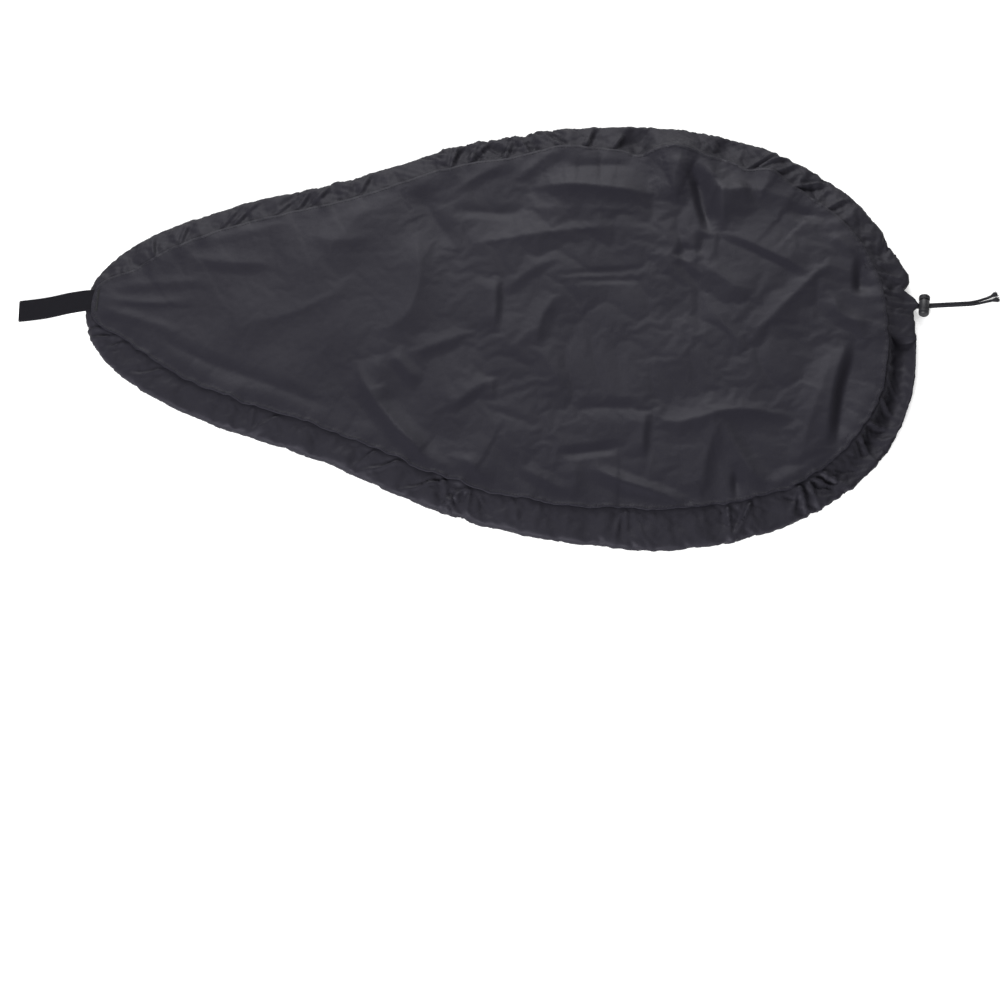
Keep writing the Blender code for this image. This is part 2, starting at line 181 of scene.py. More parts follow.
def unit(vectors):
    return vectors / np.linalg.norm(vectors, axis=-1)[..., None]


def run_along(path):
    """The distance from a path's start to each of its points."""
    return np.concatenate(([0], np.cumsum(np.linalg.norm(np.diff(path, axis=0), axis=1))))


def capped_skin(points):
    """The points and faces of a closed tube through the rings of a grid of points."""
    rows, columns = points.shape[:2]
    faces = grid_faces(rows, columns, wrap_columns=True)
    faces.append(tuple(range(columns))[::-1])
    faces.append(tuple((rows - 1) * columns + j for j in range(columns)))
    return points.reshape(-1, 3), faces


def joined(skins):
    """Several (points, faces) skins as one."""
    verts, faces, count = [], [], 0
    for points, skin in skins:
        verts.append(points)
        faces += [tuple(i + count for i in face) for face in skin]
        count += len(points)
    return np.vstack(verts), faces


def swept(path, section, up=(0, 0, 1)):
    """Points of a (side, up) section carried along a path, and the faces of the closed skin."""
    path, section = np.asarray(path, float), np.asarray(section, float)
    tangent = unit(np.gradient(path, axis=0))
    side = unit(np.cross(tangent, up))
    upward = np.cross(side, tangent)
    if section.ndim == 2:
        section = np.repeat(section[None], len(path), axis=0)
    return capped_skin(path[:, None] + side[:, None] * section[..., :1] + upward[:, None] * section[..., 1:])


def circle(radius, sides):
    turn = np.arange(sides) * TURN / sides
    return np.stack((np.cos(turn), np.sin(turn)), axis=1) * radius


def hump(distance, width):
    """1 at no distance, falling to 1/e at the width."""
    return np.exp(-((distance / width) ** 2))


def smooth_step(t):
    t = np.clip(t, 0, 1)
    return t * t * (3 - 2 * t)


def smooth_path(points, rounds=3):
    """Rounds a polyline's corners and keeps its ends."""
    path = np.asarray(points, float)
    for _ in range(rounds):
        a, b = path[:-1], path[1:]
        inner = np.stack((a * 0.75 + b * 0.25, a * 0.25 + b * 0.75), axis=1)
        path = np.vstack((path[:1], inner.reshape(-1, path.shape[1]), path[-1:]))
    return path


def resampled(path, count):
    """A path's points spread evenly along it."""
    run = run_along(path)
    wanted = np.linspace(0, run[-1], count)
    return np.stack([np.interp(wanted, run, path[:, i]) for i in range(path.shape[1])], axis=1)


def ripples(u, v, wave_u, wave_v, seed, count=18, period=None):
    """A smooth random field with unit spread, of waves about the two wavelengths long."""
    rng = np.random.default_rng(seed)
    total = np.zeros(np.broadcast(u, v).shape)
    for _ in range(count):
        ku = rng.normal() / wave_u
        if period:
            ku = round(ku * period) / period
        kv = rng.normal() / wave_v
        total += np.sin(TURN * (u * ku + v * kv) + rng.uniform(0, TURN))
    return total / math.sqrt(count / 2)


def ring_ripples(u, v, wave_u, wave_v, seed):
    """Ripples that close on themselves round the outline, with wavelengths in mm."""
    return ripples(u, v, wave_u * MM, wave_v * MM, seed, period=PERIMETER)


def creased(field):
    """Turns a smooth field into round hills between sharp creases, spread about zero."""
    return np.minimum(np.abs(field), 2) - 0.8


# --- materials


class Nodes:
    """A material's node tree, with short ways to add and join nodes."""

    def __init__(self, name):
        self.material = bpy.data.materials.new(name)
        self.material.use_nodes = True
        self.tree = self.material.node_tree
        self.shader = self.tree.nodes["Principled BSDF"]
        self.place = self.add("ShaderNodeTexCoord").outputs["Object"]

    def add(self, kind, **values):
        node = self.tree.nodes.new(kind)
        for key, value in values.items():
            if key in node.inputs:
                node.inputs[key].default_value = value
            else:
                setattr(node, key, value)
        return node

    def join(self, source, target):
        self.tree.links.new(source, target)

    def noise(self, scale, detail=4.0, stretch=(1, 1, 1)):
        mapping = self.add("ShaderNodeMapping")
        mapping.inputs["Scale"].default_value = stretch
        self.join(self.place, mapping.inputs["Vector"])
        node = self.add("ShaderNodeTexNoise", Scale=scale, Detail=detail)
        self.join(mapping.outputs["Vector"], node.inputs["Vector"])
        return node.outputs["Fac"]

    def wave(self, axis, period):
        """Stripes across an axis, one per period in metres."""
        stripes_per_unit = 20 / TURN
        node = self.add("ShaderNodeTexWave", bands_direction=axis, Scale=1 / period / stripes_per_unit)
        self.join(self.place, node.inputs["Vector"])
        return node.outputs["Fac"]

    def math(self, operation, a, b):
        node = self.add("ShaderNodeMath", operation=operation)
        for socket, value in zip(node.inputs, (a, b)):
            if isinstance(value, (int, float)):
                socket.default_value = value
            else:
                self.join(value, socket)
        return node.outputs[0]

    def mixed(self, a, b, share):
        """The share of a plus the rest of b."""
        return self.math("ADD", self.math("MULTIPLY", a, share), self.math("MULTIPLY", b, 1 - share))

    def ramp(self, factor, low, high):
        """A colour that runs from low to high as the factor does."""
        node = self.add("ShaderNodeMix", data_type="RGBA")
        self.join(factor, node.inputs["Factor"])
        node.inputs["A"].default_value = (*low, 1)
        node.inputs["B"].default_value = (*high, 1)
        return node.outputs["Result"]

    def colour(self, source):
        self.join(source, self.shader.inputs["Base Color"])

    def rough(self, factor, low, high):
        node = self.add("ShaderNodeMapRange")
        node.inputs["To Min"].default_value = low
        node.inputs["To Max"].default_value = high
        self.join(factor, node.inputs["Value"])
        self.join(node.outputs["Result"], self.shader.inputs["Roughness"])

    def bump(self, height, depth, strength=1.0, under=None):
        """Bumps of a depth in metres, on top of the bumps under them."""
        node = self.add("ShaderNodeBump", Strength=strength, Distance=depth)
        self.join(height, node.inputs["Height"])
        if under:
            self.join(under, node.inputs["Normal"])
        return node.outputs["Normal"]

    def finish(self, normal, **values):
        self.join(normal, self.shader.inputs["Normal"])
        for key, value in values.items():
            self.shader.inputs[key.replace("_", " ")].default_value = value
        return self.material


def nylon_material(name, dark, light, gloss):
    """Proofed plain-weave nylon: a fine weave, small handling creases, a soft uneven sheen."""
    nodes = Nodes(name)
    weave = nodes.math("MULTIPLY", nodes.wave("X", 0.55 * MM), nodes.wave("Y", 0.55 * MM))
    cloudy = nodes.noise(14, detail=3)
    slubs = nodes.noise(900, detail=2, stretch=(1, 0.15, 1))
    crumple = nodes.noise(160, detail=5)
    nodes.colour(nodes.ramp(nodes.mixed(cloudy, slubs, 0.6), dark, light))
    nodes.rough(nodes.mixed(crumple, cloudy, 0.5), 0.46, 0.58)
    under = nodes.bump(crumple, 0.5 * MM, strength=0.35)
    normal = nodes.bump(weave, 0.06 * MM, strength=0.5, under=under)
    return nodes.finish(normal, Specular_IOR_Level=gloss, Specular_Tint=(0.9, 0.88, 1, 1))


def tape_material():
    nodes = Nodes("binding tape")
    ribs = nodes.math("MAXIMUM", nodes.wave("X", 0.9 * MM), nodes.wave("Y", 0.9 * MM))
    nodes.colour(nodes.ramp(nodes.noise(300), (0.010, 0.010, 0.011), (0.018, 0.018, 0.020)))
    nodes.rough(ribs, 0.9, 0.7)
    return nodes.finish(nodes.bump(ribs, 0.1 * MM), Specular_IOR_Level=0.3)


def thread_material():
    nodes = Nodes("sewing thread")
    twist = nodes.wave("DIAGONAL", 0.35 * MM)
    nodes.colour(nodes.ramp(twist, (0.009, 0.009, 0.011), (0.020, 0.020, 0.023)))
    nodes.rough(twist, 0.75, 0.5)
    return nodes.finish(nodes.bump(twist, 0.05 * MM), Specular_IOR_Level=0.2)


def webbing_material():
    """Black webbing: fine ribs across it and a faint fuzz."""
    nodes = Nodes("black webbing")
    ribs = nodes.wave("X", 1.25 * MM)
    fuzz = nodes.noise(1500, detail=3)
    blend = nodes.math("MULTIPLY", ribs, fuzz)
    nodes.colour(nodes.ramp(blend, (0.0050, 0.0048, 0.0062), (0.0150, 0.0145, 0.0190)))
    nodes.rough(fuzz, 0.65, 0.9)
    under = nodes.bump(ribs, 0.12 * MM, strength=0.6)
    normal = nodes.bump(fuzz, 0.05 * MM, strength=0.5, under=under)
    return nodes.finish(normal, Specular_IOR_Level=0.05)


def cord_material():
    nodes = Nodes("braided cord")
    fibres = nodes.noise(2500, detail=3, stretch=(0.3, 1, 1))
    nodes.colour(nodes.ramp(fibres, (0.008, 0.008, 0.010), (0.024, 0.024, 0.028)))
    nodes.rough(fibres, 0.6, 0.85)
    return nodes.finish(nodes.bump(fibres, 0.05 * MM), Specular_IOR_Level=0.12)


def plastic_material():
    """Moulded black plastic: a fine spark-eroded grain and faint handling marks."""
    nodes = Nodes("moulded plastic")
    grain = nodes.noise(3500, detail=2)
    marks = nodes.noise(220, detail=6)
    nodes.colour(nodes.ramp(marks, (0.010, 0.010, 0.012), (0.018, 0.018, 0.021)))
    nodes.rough(marks, 0.4, 0.55)
    return nodes.finish(nodes.bump(grain, 0.03 * MM, strength=0.5), Specular_IOR_Level=0.25)


def steel_material():
    nodes = Nodes("spring steel")
    drawn = nodes.noise(1800, detail=2, stretch=(0.1, 1, 1))
    nodes.colour(nodes.ramp(drawn, (0.42, 0.42, 0.43), (0.6, 0.6, 0.61)))
    nodes.rough(drawn, 0.25, 0.4)
    return nodes.finish(nodes.bump(drawn, 0.01 * MM), Metallic=1.0)


PANEL_NYLON = nylon_material("panel nylon", (0.0090, 0.0085, 0.0124), (0.0130, 0.0123, 0.0170), 0.14)
# The band is the same nylon as the panel. Its colour is painted lighter than the panel's, as painted fill
# light on the band's shaded near side, and it has less gloss.
BAND_NYLON_PAINTED_LIGHTER = nylon_material("band nylon painted lighter", (0.0128, 0.0122, 0.0162), (0.0182, 0.0174, 0.0224), 0.09)
TAPE = tape_material()
THREAD = thread_material()
WEBBING = webbing_material()
CORD = cord_material()
PLASTIC = plastic_material()
STEEL = steel_material()


# --- the outline and the seam


def bezier(a, b, c, d, count=500):
    a, b, c, d = (np.array(point, float) for point in (a, b, c, d))
    t = np.linspace(0, 1, count, endpoint=False)[:, None]
    u = 1 - t
    return a * u**3 + 3 * b * t * u * u + 3 * c * t * t * u + d * t**3


def outline_ring():
    """Evenly spaced points round the outline, from the bow along +Y, and the way inwards at each."""
    bow, stern = np.array((BOW_X, 0)), np.array((STERN_X, 0))
    flank = np.array((BOW_X + 292 * MM, 196 * MM))
    angle = math.radians(19)
    way = np.array((math.cos(angle), math.sin(angle)))
    beam = np.array((BEAM_X, HALF_WIDTH))
    spans = (
        (bow, bow + (0, 121 * MM), flank - 76 * MM * way, flank),
        (flank, flank + 90 * MM * way, beam - (224 * MM, 0), beam),
        (beam, beam + (53 * MM, 0), stern + (0, 264 * MM), stern),
    )
    half = np.vstack([bezier(*span) for span in spans] + [stern])
    closed = np.vstack((half, half[-2::-1] * (1, -1)))
    length = np.linalg.norm(np.diff(closed, axis=0), axis=1).sum()
    ring = resampled(closed, round(length / RING_STEP) + 1)[:-1]
    ahead = unit(np.roll(ring, -1, axis=0) - np.roll(ring, 1, axis=0))
    return ring, np.stack((ahead[:, 1], -ahead[:, 0]), axis=1), length


RING, INWARD, PERIMETER = outline_ring()
STATIONS = len(RING)
ALONG = np.arange(STATIONS) * PERIMETER / STATIONS
FAR_SIDE = RING[:, 1] > 0


def near_place(x, side, reach):
    """How near each station is to a place on one side of the cover: 1 there, 1/e at reach (mm)."""
    return hump(RING[:, 0] - x * MM, reach * MM) * (FAR_SIDE if side > 0 else ~FAR_SIDE)


def near_any(spots):
    """The sum of each station's nearness to (x, side, reach, weight) spots, times their weights."""
    return sum(near_place(x, side, reach) * weight for x, side, reach, weight in spots)


def seam_line():
    """The seam's inset and height at each station, and its height without puckers."""
    from_bow = np.minimum(ALONG, PERIMETER - ALONG)
    past_bow = smooth_step((from_bow - 15 * MM) / (75 * MM))
    near_beam = smooth_step(1 - np.abs(RING[:, 0] - BEAM_X) / (300 * MM))
    inset = BOW_SEAM_INSET + (SEAM_INSET - BOW_SEAM_INSET) * past_bow + BEAM_SEAM_EXTRA * near_beam
    height = np.full(STATIONS, SEAM_Z)
    for x, side, reach, shift, rise in SEAM_LUMPS:
        close = near_place(x, side, reach)
        inset += shift * MM * close
        height += rise * MM * close
    wander = ring_ripples(ALONG, 0, 90, 1, seed=3)
    pucker = ring_ripples(ALONG, 0, 26, 1, seed=4)
    inset += (0.8 * wander + 0.35 * pucker) * past_bow * MM
    even = height + 0.5 * wander * past_bow * MM
    return inset, even + 0.4 * pucker * past_bow * MM, even


# Where the seam strays from its even line: x, side, reach along it, shift inwards, rise (all mm)
SEAM_LUMPS = (
    (-430, 1, 45, 0, 2.0), (-430, -1, 45, 0, -2.0), (212, 1, 30, -4, 6), (190, 1, 46, -2, 3),
    (153, 1, 16, 9, -2), (60, 1, 36, -6, 4), (-22, 1, 26, 4, 1), (-120, 1, 40, -2, 1),
    (306, 1, 14, 6, 1), (337, 1, 18, -6, 4), (398, 1, 20, 2, -2), (264, -1, 10, 3, -1.5),
    (360, -1, 18, -3, 2), (150, -1, 14, 2, -1), (-60, -1, 14, 2, 1.5),
)

SEAM_IN, SEAM_HIGH, SEAM_EVEN = seam_line()


def placed(inset, z):
    """Points at an inset from the outline and a height, for every station and column."""
    flat = RING[:, None] + INWARD[:, None] * inset[..., None]
    return np.concatenate((flat, z[..., None]), axis=2)


# --- folds of the top panel

# Each fold: its crest in mm, its height in mm, and how far it reaches on its lit and shaded sides.
# A negative height is a hollow.
FOLDS = (
    # bow half
    (((-441, -34), (-371, -73), (-284, -104), (-197, -142)), -1.5, 14, 16),
    (((-161, 215), (-187, 137), (-235, 70)), 1.8, 70, 50),
    (((-120, 120), (-110, 75), (-109, 34), (-124, -14), (-162, -30)), 4.0, 60, 34),
    (((-178, -70), (-160, -112), (-124, -160), (-92, -192), (-66, -232)), 5.0, 20, 16),
    (((-152, -60), (-151, -90), (-136, -124)), 2.2, 26, 24),
    (((-122, 188), (-97, 141), (-66, 97)), -2.8, 24, 34),
    (((-66, 98), (-3, 113), (69, 129), (158, 141)), 2.6, 50, 24),
    (((-16, 60), (-15, 20), (-16, -24)), 3.2, 40, 8),
    (((-5, 36), (14, 57), (46, 84)), 1.4, 12, 12),
    (((51, 61), (105, 70), (165, 78)), -0.6, 5, 5),
    (((60, 50), (105, 58), (170, 62)), -0.5, 5, 5),
    (((58, 34), (40, -2), (37, -40)), 2.4, 18, 14),
    (((-139, -56), (-118, -76), (-100, -99)), 2.2, 12, 10),
    (((-116, -58), (-80, -42), (-42, -22)), 1.8, 20, 14),
    (((-66, -132), (-40, -108), (-14, -86)), 1.8, 22, 10),
    (((-15, -84), (-13, -116)), 1.2, 20, 5),
    (((37, -34), (51, -61), (76, -98)), 1.4, 22, 22),
    (((-500, 6), (-430, 0), (-380, 8)), 0.9, 9, 9),
    (((-498, -10), (-440, -22), (-390, -42)), 0.9, 9, 9),
    (((-498, 18), (-430, 30), (-360, 36)), 0.9, 10, 10),
    (((-400, 70), (-340, 62), (-280, 66)), 1.6, 20, 14),
    (((-384, 92), (-330, 112), (-270, 128)), 1.4, 12, 12),
    (((-320, -26), (-240, 0), (-180, 50)), 1.2, 34, 24),
    (((-250, 110), (-215, 96), (-170, 110)), 1.0, 18, 16),
    # far side and the peak
    (((22, 192), (70, 194), (120, 191), (184, 187)), 7.2, 38, 30),
    (((60, 222), (100, 228), (152, 234)), -2.4, 14, 14),
    (((0, 158), (80, 162), (168, 160)), 1.6, 24, 16),
    (((6, 202), (34, 238), (66, 258)), 2.4, 12, 16),
    (((-71, 184), (-42, 210), (-4, 232)), 2.0, 16, 12),
    (((-74, 156), (-30, 152), (18, 155)), -1.4, 12, 10),
    (((208, 258), (206, 236), (202, 206), (196, 176)), 3.6, 30, 22),
    (((220, 238), (231, 208), (235, 178), (243, 152), (244, 130)), -6.6, 10, 17),
    (((238, 134), (236, 114), (229, 100)), -2.6, 8, 12),
    (((219, 116), (212, 104), (206, 94)), -2.6, 9, 14),
    (((234, 104), (232, 60), (233, -10)), -0.9, 8, 8),
    (((205, 94), (214, 78), (233, 56)), -1.8, 9, 9),
    (((224, 258), (258, 204), (262, 176), (258, 138)), 4.6, 18, 32),
    (((248, 200), (268, 193), (296, 204)), 4.6, 38, 44),
    (((262, 136), (300, 118), (368, 80)), 3.2, 34, 8),
    (((232, 91), (262, 66), (294, 40)), 2.4, 24, 22),
    (((240, 30), (262, 2), (292, -40)), 1.4, 16, 18),
    (((290, -24), (332, 28), (374, 78), (400, 110)), 3.4, 22, 44),
    (((441, 116), (432, 100), (430, 76), (428, 50)), -7.0, 9, 40),
    (((438, 96), (456, 60), (462, 26)), 2.4, 12, 16),
    (((394, 142), (412, 124), (426, 112)), 2.8, 14, 12),
    (((392, 52), (404, 18), (442, 10)), 3.0, 16, 14),
    (((340, 174), (373, 166), (413, 172)), -2.8, 10, 12),
    (((258, 206), (320, 196), (372, 184)), 1.6, 18, 18),
    # near side and stern
    (((168, -124), (204, -140), (228, -134), (262, -120), (296, -116), (346, -123)), 3.6, 28, 26),
    (((170, -122), (168, -152), (166, -188)), 3.2, 40, 8),
    (((66, -188), (105, -181), (147, -172)), -2.4, 9, 8),
    (((82, -126), (120, -118), (164, -124)), -1.6, 14, 20),
    (((100, -200), (151, -223), (196, -236), (240, -263)), 4.4, 12, 14),
    (((82, -196), (92, -220), (86, -250)), 2.2, 20, 14),
    (((258, -130), (282, -176), (300, -206), (326, -232)), 3.0, 20, 14),
    (((258, -130), (243, -175), (235, -248)), 2.6, 26, 14),
    (((279, -196), (279, -225), (281, -256)), -4.5, 6, 9),
    (((398, -10), (384, -66), (366, -126), (350, -190)), 3.0, 22, 50),
    (((412, -8), (400, -50), (388, -110), (384, -170)), 2.2, 18, 12),
    (((418, -12), (420, -36), (408, -72), (401, -112), (397, -170)), -6.5, 10, 38),
    (((318, -228), (342, -200), (364, -210)), 2.6, 14, 12),
    (((-44, -194), (-28, -210), (-14, -230)), 2.0, 13, 10),
    (((24, -204), (52, -222), (88, -241)), 1.8, 12, 12),
)


def fold_height(places, crest, height, lit, shaded):
    """One fold's rise at each (x, y) place."""
    path = smooth_path(np.array(crest) * MM)
    steps = np.diff(path, axis=0)
    lengths = np.linalg.norm(steps, axis=1)
    starts = run_along(path)
    nearest = np.full(len(places), np.inf)
    offset, run = np.zeros(len(places)), np.zeros(len(places))
    for start, step, length, before in zip(path, steps / lengths[:, None], lengths, starts):
        away = places - start
        ahead = np.clip(away @ step, 0, length)
        gap = away - ahead[:, None] * step
        distance = np.linalg.norm(gap, axis=1)
        closer = distance < nearest
        lit_way = np.array((-step[1], step[0]))
        lit_way *= np.sign(lit_way @ LIT_FROM)
        nearest[closer] = distance[closer]
        offset[closer] = (gap @ lit_way)[closer]
        run[closer] = (before + ahead)[closer]
    crest_round = 2.5 * MM
    reach = (shaded + (lit - shaded) * smooth_step(offset / (2 * crest_round) + 0.5)) * MM
    fall = np.sqrt(nearest**2 + crest_round**2) - crest_round
    share = run / starts[-1]
    taper = smooth_step(0.12 + np.minimum(share, 1 - share) / 0.35)
    power = 1.3 + reach / (60 * MM)
    return height * MM * taper * np.clip(1 - fall / (1.1 * reach), 0, 1) ** power


def panel_places():
    """The panel's flat layout: boundary points on the seam, then an even grid inside them."""
    edge = RING + INWARD * (SEAM_IN - EDGE_OVERLAP)[:, None]
    low, high = edge.min(axis=0), edge.max(axis=0)
    row_step = PANEL_GRID * math.sqrt(3) / 2
    inside = []
    for row, y in enumerate(np.arange(low[1], high[1], row_step)):
        x = np.arange(low[0] + row % 2 * PANEL_GRID / 2, high[0], PANEL_GRID)
        inside.append(np.stack((x, np.full(len(x), y)), axis=1))
    inside = np.vstack(inside)
    index, depth = edge_distance(inside, edge)
    inward = ((inside - edge[index]) * INWARD[index]).sum(axis=1) > 0
    inside = inside[inward & (depth > 0.7 * PANEL_GRID)]
    return edge, inside


def edge_distance(places, edge):
    """The nearest station to each place, and how far away it is."""
    tree = KDTree(len(edge))
    for i, point in enumerate(edge):
        tree.insert((*point, 0), i)
    tree.balance()
    found = [tree.find((*place, 0)) for place in places]
    return np.array([f[1] for f in found]), np.array([f[2] for f in found])


def panel_rise(places, station, depth):
    """The panel's height at each place, from its nearest station and its distance from the seam."""
    lift = SEAM_EVEN[station] - SEAM_Z
    crown = CROWN * smooth_step((places[:, 0] - BOW_X) / (240 * MM))
    rise = SEAM_Z + lift * np.exp(-((depth / (45 * MM)) ** 1.5))
    rise += crown * (1 - np.exp(-depth / (70 * MM)))
    rise += (SEAM_HIGH - SEAM_EVEN)[station] * np.exp(-depth / (6 * MM))
    x, y = places.T
    inside = smooth_step(depth / (30 * MM))
    for fold in FOLDS:
        rise += fold_height(places, *fold) * (0.35 + 0.65 * inside)
    rise += ripples(x, y, 200 * MM, 200 * MM, seed=11) * 0.9 * MM * inside
    stern_half = smooth_step((x + 200 * MM) / (300 * MM))
    crumple = creased(ripples(x, y, 110 * MM, 110 * MM, seed=12))
    rise += crumple * (0.15 + 0.3 * stern_half) * MM * inside
    rise += creased(ripples(x, y, 34 * MM, 34 * MM, seed=13)) * 0.07 * MM
    pucker = ring_ripples(ALONG, 0, 13, 1, seed=14)[station]
    strong = 0.5 + 0.5 * ring_ripples(ALONG, 0, 120, 1, seed=15)[station] ** 2
    rise += pucker * strong * 0.08 * MM * np.exp(-depth / (12 * MM))
    bead = np.where(FAR_SIDE, 0.8 * near_place(230, 1, 80), 1.0)
    rise += bead[station] * MM * hump(depth, 1.6 * MM)
    return rise


def rolled_edge(edge_z):
    """Rows that turn the panel's edge down and back under it, as a folded seam allowance."""
    turn = ((0.5, -0.25), (0.75, -0.9), (0.5, -1.5), (-0.5, -1.75), (-4, -1.9), (-8, -2.0))
    out = np.array([step[0] for step in turn]) * MM
    down = np.array([step[1] for step in turn]) * MM
    inset = (SEAM_IN - EDGE_OVERLAP)[:, None] - out[None]
    return placed(inset, edge_z[:, None] + down[None])


def top_panel():
    edge, inside = panel_places()
    flat = np.vstack((edge, inside))
    ring = [(i, (i + 1) % STATIONS) for i in range(STATIONS)]
    coords, _, faces, origin, _, _ = delaunay_2d_cdt([Vector(p) for p in flat], ring, [], 1, 1e-7)
    order = np.array([ids[0] for ids in origin])
    places = np.array([tuple(c) for c in coords])
    station, depth = edge_distance(places, edge)
    heights = panel_rise(places, station, depth)
    verts = np.column_stack((places, heights))
    slot = np.empty(len(flat), int)
    slot[order] = np.arange(len(order))
    edge_ids = slot[:STATIONS]
    rolled = rolled_edge(heights[edge_ids])
    rows = rolled.shape[1]
    turned_ids = len(verts) + np.arange(STATIONS * rows).reshape(STATIONS, rows)
    ids = np.column_stack((edge_ids, turned_ids)).ravel()
    faces = [tuple(f) for f in faces]
    faces += [tuple(ids[k] for k in face) for face in grid_faces(STATIONS, rows + 1, wrap_rows=True)]
    panel = mesh_object("panel_sheet", np.vstack((verts, rolled.reshape(-1, 3))), faces, PANEL_NYLON)
    fix_normals(panel)
    face_up(panel)
    held = np.concatenate((np.where(depth < 3 * MM)[0], np.arange(len(verts), len(panel.data.vertices))))
    towards_stern = smooth_step(places[:, 0] / (250 * MM) + 0.7)
    loose = smooth_step((depth - 15 * MM) / (50 * MM)) * (0.2 + 0.8 * towards_stern)
    relax(panel, held, loose, slack=0.0021, stiffness=10, grip=0.16)
    thicken(panel, CLOTH)
    return finish_piece(panel, "top_panel", "cover")


def relax(sheet, held, loose, slack, stiffness, grip):
    """Lets slack cloth settle from its drawn folds into folds that cloth can hold.

    The held points stay; the rest are drawn back towards their first places by the grip, 0 to 1.
    """
    group = sheet.vertex_groups.new(name="held")
    group.add(range(len(sheet.data.vertices)), grip, "REPLACE")
    group.add([int(i) for i in held], 1.0, "REPLACE")
    taut = sheet.vertex_groups.new(name="taut")
    for i, share in enumerate(loose):
        taut.add([i], 1 - float(share), "REPLACE")
    cloth = sheet.modifiers.new("cloth", "CLOTH")
    settings = cloth.settings
    set_values(settings, quality=4, mass=0.05, air_damping=6)
    set_values(settings, tension_stiffness=25, compression_stiffness=25, shear_stiffness=15)
    set_values(settings, bending_stiffness=stiffness, vertex_group_mass="held")
    set_values(settings, vertex_group_shrink="taut", shrink_min=-slack, shrink_max=0)
    settings.effector_weights.gravity = 0.02
    cloth.collision_settings.use_collision = False
    set_values(cloth.point_cache, frame_start=1, frame_end=SETTLE_FRAMES)
    for step in range(1, SETTLE_FRAMES + 1):
        bpy.context.scene.frame_set(step)
    apply_modifiers(sheet)
    bpy.context.scene.frame_set(1)
    sheet.vertex_groups.clear()


def face_up(sheet):
    """Flips a sheet of cloth if its upper part faces down."""
    upward = sum(p.normal.z * p.area for p in sheet.data.polygons if p.center.z > FOLD_RADIUS)
    if upward < 0:
        sheet.data.flip_normals()


def finish_piece(piece, node, body):
    """Puts a piece on its body, in place of its CAD node where it has one."""
    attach(piece, body)
    if node:
        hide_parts(node)
    return piece


# --- side band


def exit_station():
    """The station where the cords leave the outline."""
    return int(np.argmin(np.linalg.norm(RING - np.array(CORD_PIVOT.xy), axis=1)))


EXIT = exit_station()
FROM_EXIT = np.minimum(np.abs(ALONG - ALONG[EXIT]), PERIMETER - np.abs(ALONG - ALONG[EXIT]))


def band_profiles():
    """The band's even shape: out from under the panel, over the fold, in on the floor, round the cord."""
    rows = []
    sags = 1.0 + near_any(SAGS)
    for seam, high, sag in zip(SEAM_IN, SEAM_HIGH, sags * MM):
        start = np.array(((seam + 8 * MM, high - 2.6 * MM), (seam + 2 * MM, high - 2.5 * MM)))
        lip = np.array((seam - 0.8 * MM, high - 2.5 * MM))
        valley = np.array((seam - 4 * MM, high - 3.0 * MM))
        outer = np.array((0, FOLD_RADIUS + 1.2 * MM))
        rim = outer + (0, 9.4 * MM - 0.45 * sag)
        top = bezier(valley, (0.62 * valley[0], valley[1] - 2.6 * sag), rim, outer, 24)
        turn = np.linspace(math.pi, 1.5 * math.pi, 9)
        under = np.stack((FOLD_RADIUS * (1 + np.cos(turn)), FLOOR_GAP + outer[1] * (1 + np.sin(turn))), 1)
        hook_turn = np.linspace(-0.5 * math.pi, 1.25 * math.pi, 20)
        centre = np.array((HEM_INSET, FLOOR_GAP + HEM_RADIUS))
        hook = centre + HEM_RADIUS * np.stack((np.cos(hook_turn), np.sin(hook_turn)), 1)
        rows.append(resampled(np.vstack((start, lip, top, under, hook)), BAND_ROWS))
    return np.array(rows)


def surface_normals(points):
    """Normals of a grid of points that closes on itself along its rows."""
    along = np.roll(points, -1, axis=0) - np.roll(points, 1, axis=0)
    across = np.gradient(points, axis=1)
    normal = np.cross(across, along)
    return normal / np.linalg.norm(normal, axis=2)[..., None]


def band_wrinkles():
    """How far the cloth stands off the band's even shape."""
    s = ALONG[:, None]
    t = np.linspace(0, 1, BAND_ROWS)[None] * BAND_WIDTH
    from_seam = np.clip(t - 9 * MM, 0, None)
    hem = smooth_step((t - 70 * MM) / (45 * MM))
    below_seam = np.exp(-from_seam / (11 * MM))
    loose = smooth_step(from_seam / (8 * MM)) * (1 - hem)
    crumpled = near_any(CRUMPLED)[:, None]
    lean = 1.1 * t
    fine = creased(ring_ripples(s + lean, t, 26, 70, seed=21))
    back = creased(ring_ripples(s - lean, t, 30, 60, seed=26))
    broad = ring_ripples(s, t, 80, 80, seed=22)
    tight = creased(ring_ripples(s + 0.8 * lean, t, 14, 40, seed=23))
    gathers = ring_ripples(s, t, 12, 90, seed=24)
    puckers = creased(ring_ripples(s, t, 17, 30, seed=25))
    stand = loose * (0.28 * fine + 0.22 * back + 0.35 * broad) + below_seam * 0.3 * puckers
    stand = stand + loose * crumpled * (1.2 * tight + 0.9 * fine + 0.5 * broad)
    stand = stand + hem * 0.8 * gathers
    return stand * MM * smooth_step(t / (10 * MM))


# Where the band sinks behind its outer fold: x, side, reach along it, depth (all mm)
SAGS = (
    (156, 1, 26, 5.0), (205, 1, 34, 3.5), (275, 1, 46, 3.5), (-24, 1, 24, 2.0), (497, -1, 64, 11.0),
    (430, -1, 50, 2.5), (330, -1, 60, 1.0), (497, 1, 30, 2.5), (60, -1, 200, 0.4),
    (60, 1, 200, 1.2),
)

# Where the band is most crumpled: x, side, reach along it (mm), strength
CRUMPLED = (
    (-10, 1, 70, 1.0), (-90, 1, 30, 0.6), (-225, 1, 45, 0.45), (250, 1, 80, 0.5), (400, 1, 40, 0.5),
    (470, 1, 30, 0.4), (-50, -1, 45, 0.7), (380, -1, 40, 0.8), (440, -1, 40, 0.5),
    (290, -1, 22, 0.8), (170, -1, 16, 0.5), (-500, -1, 40, 0.3),
)

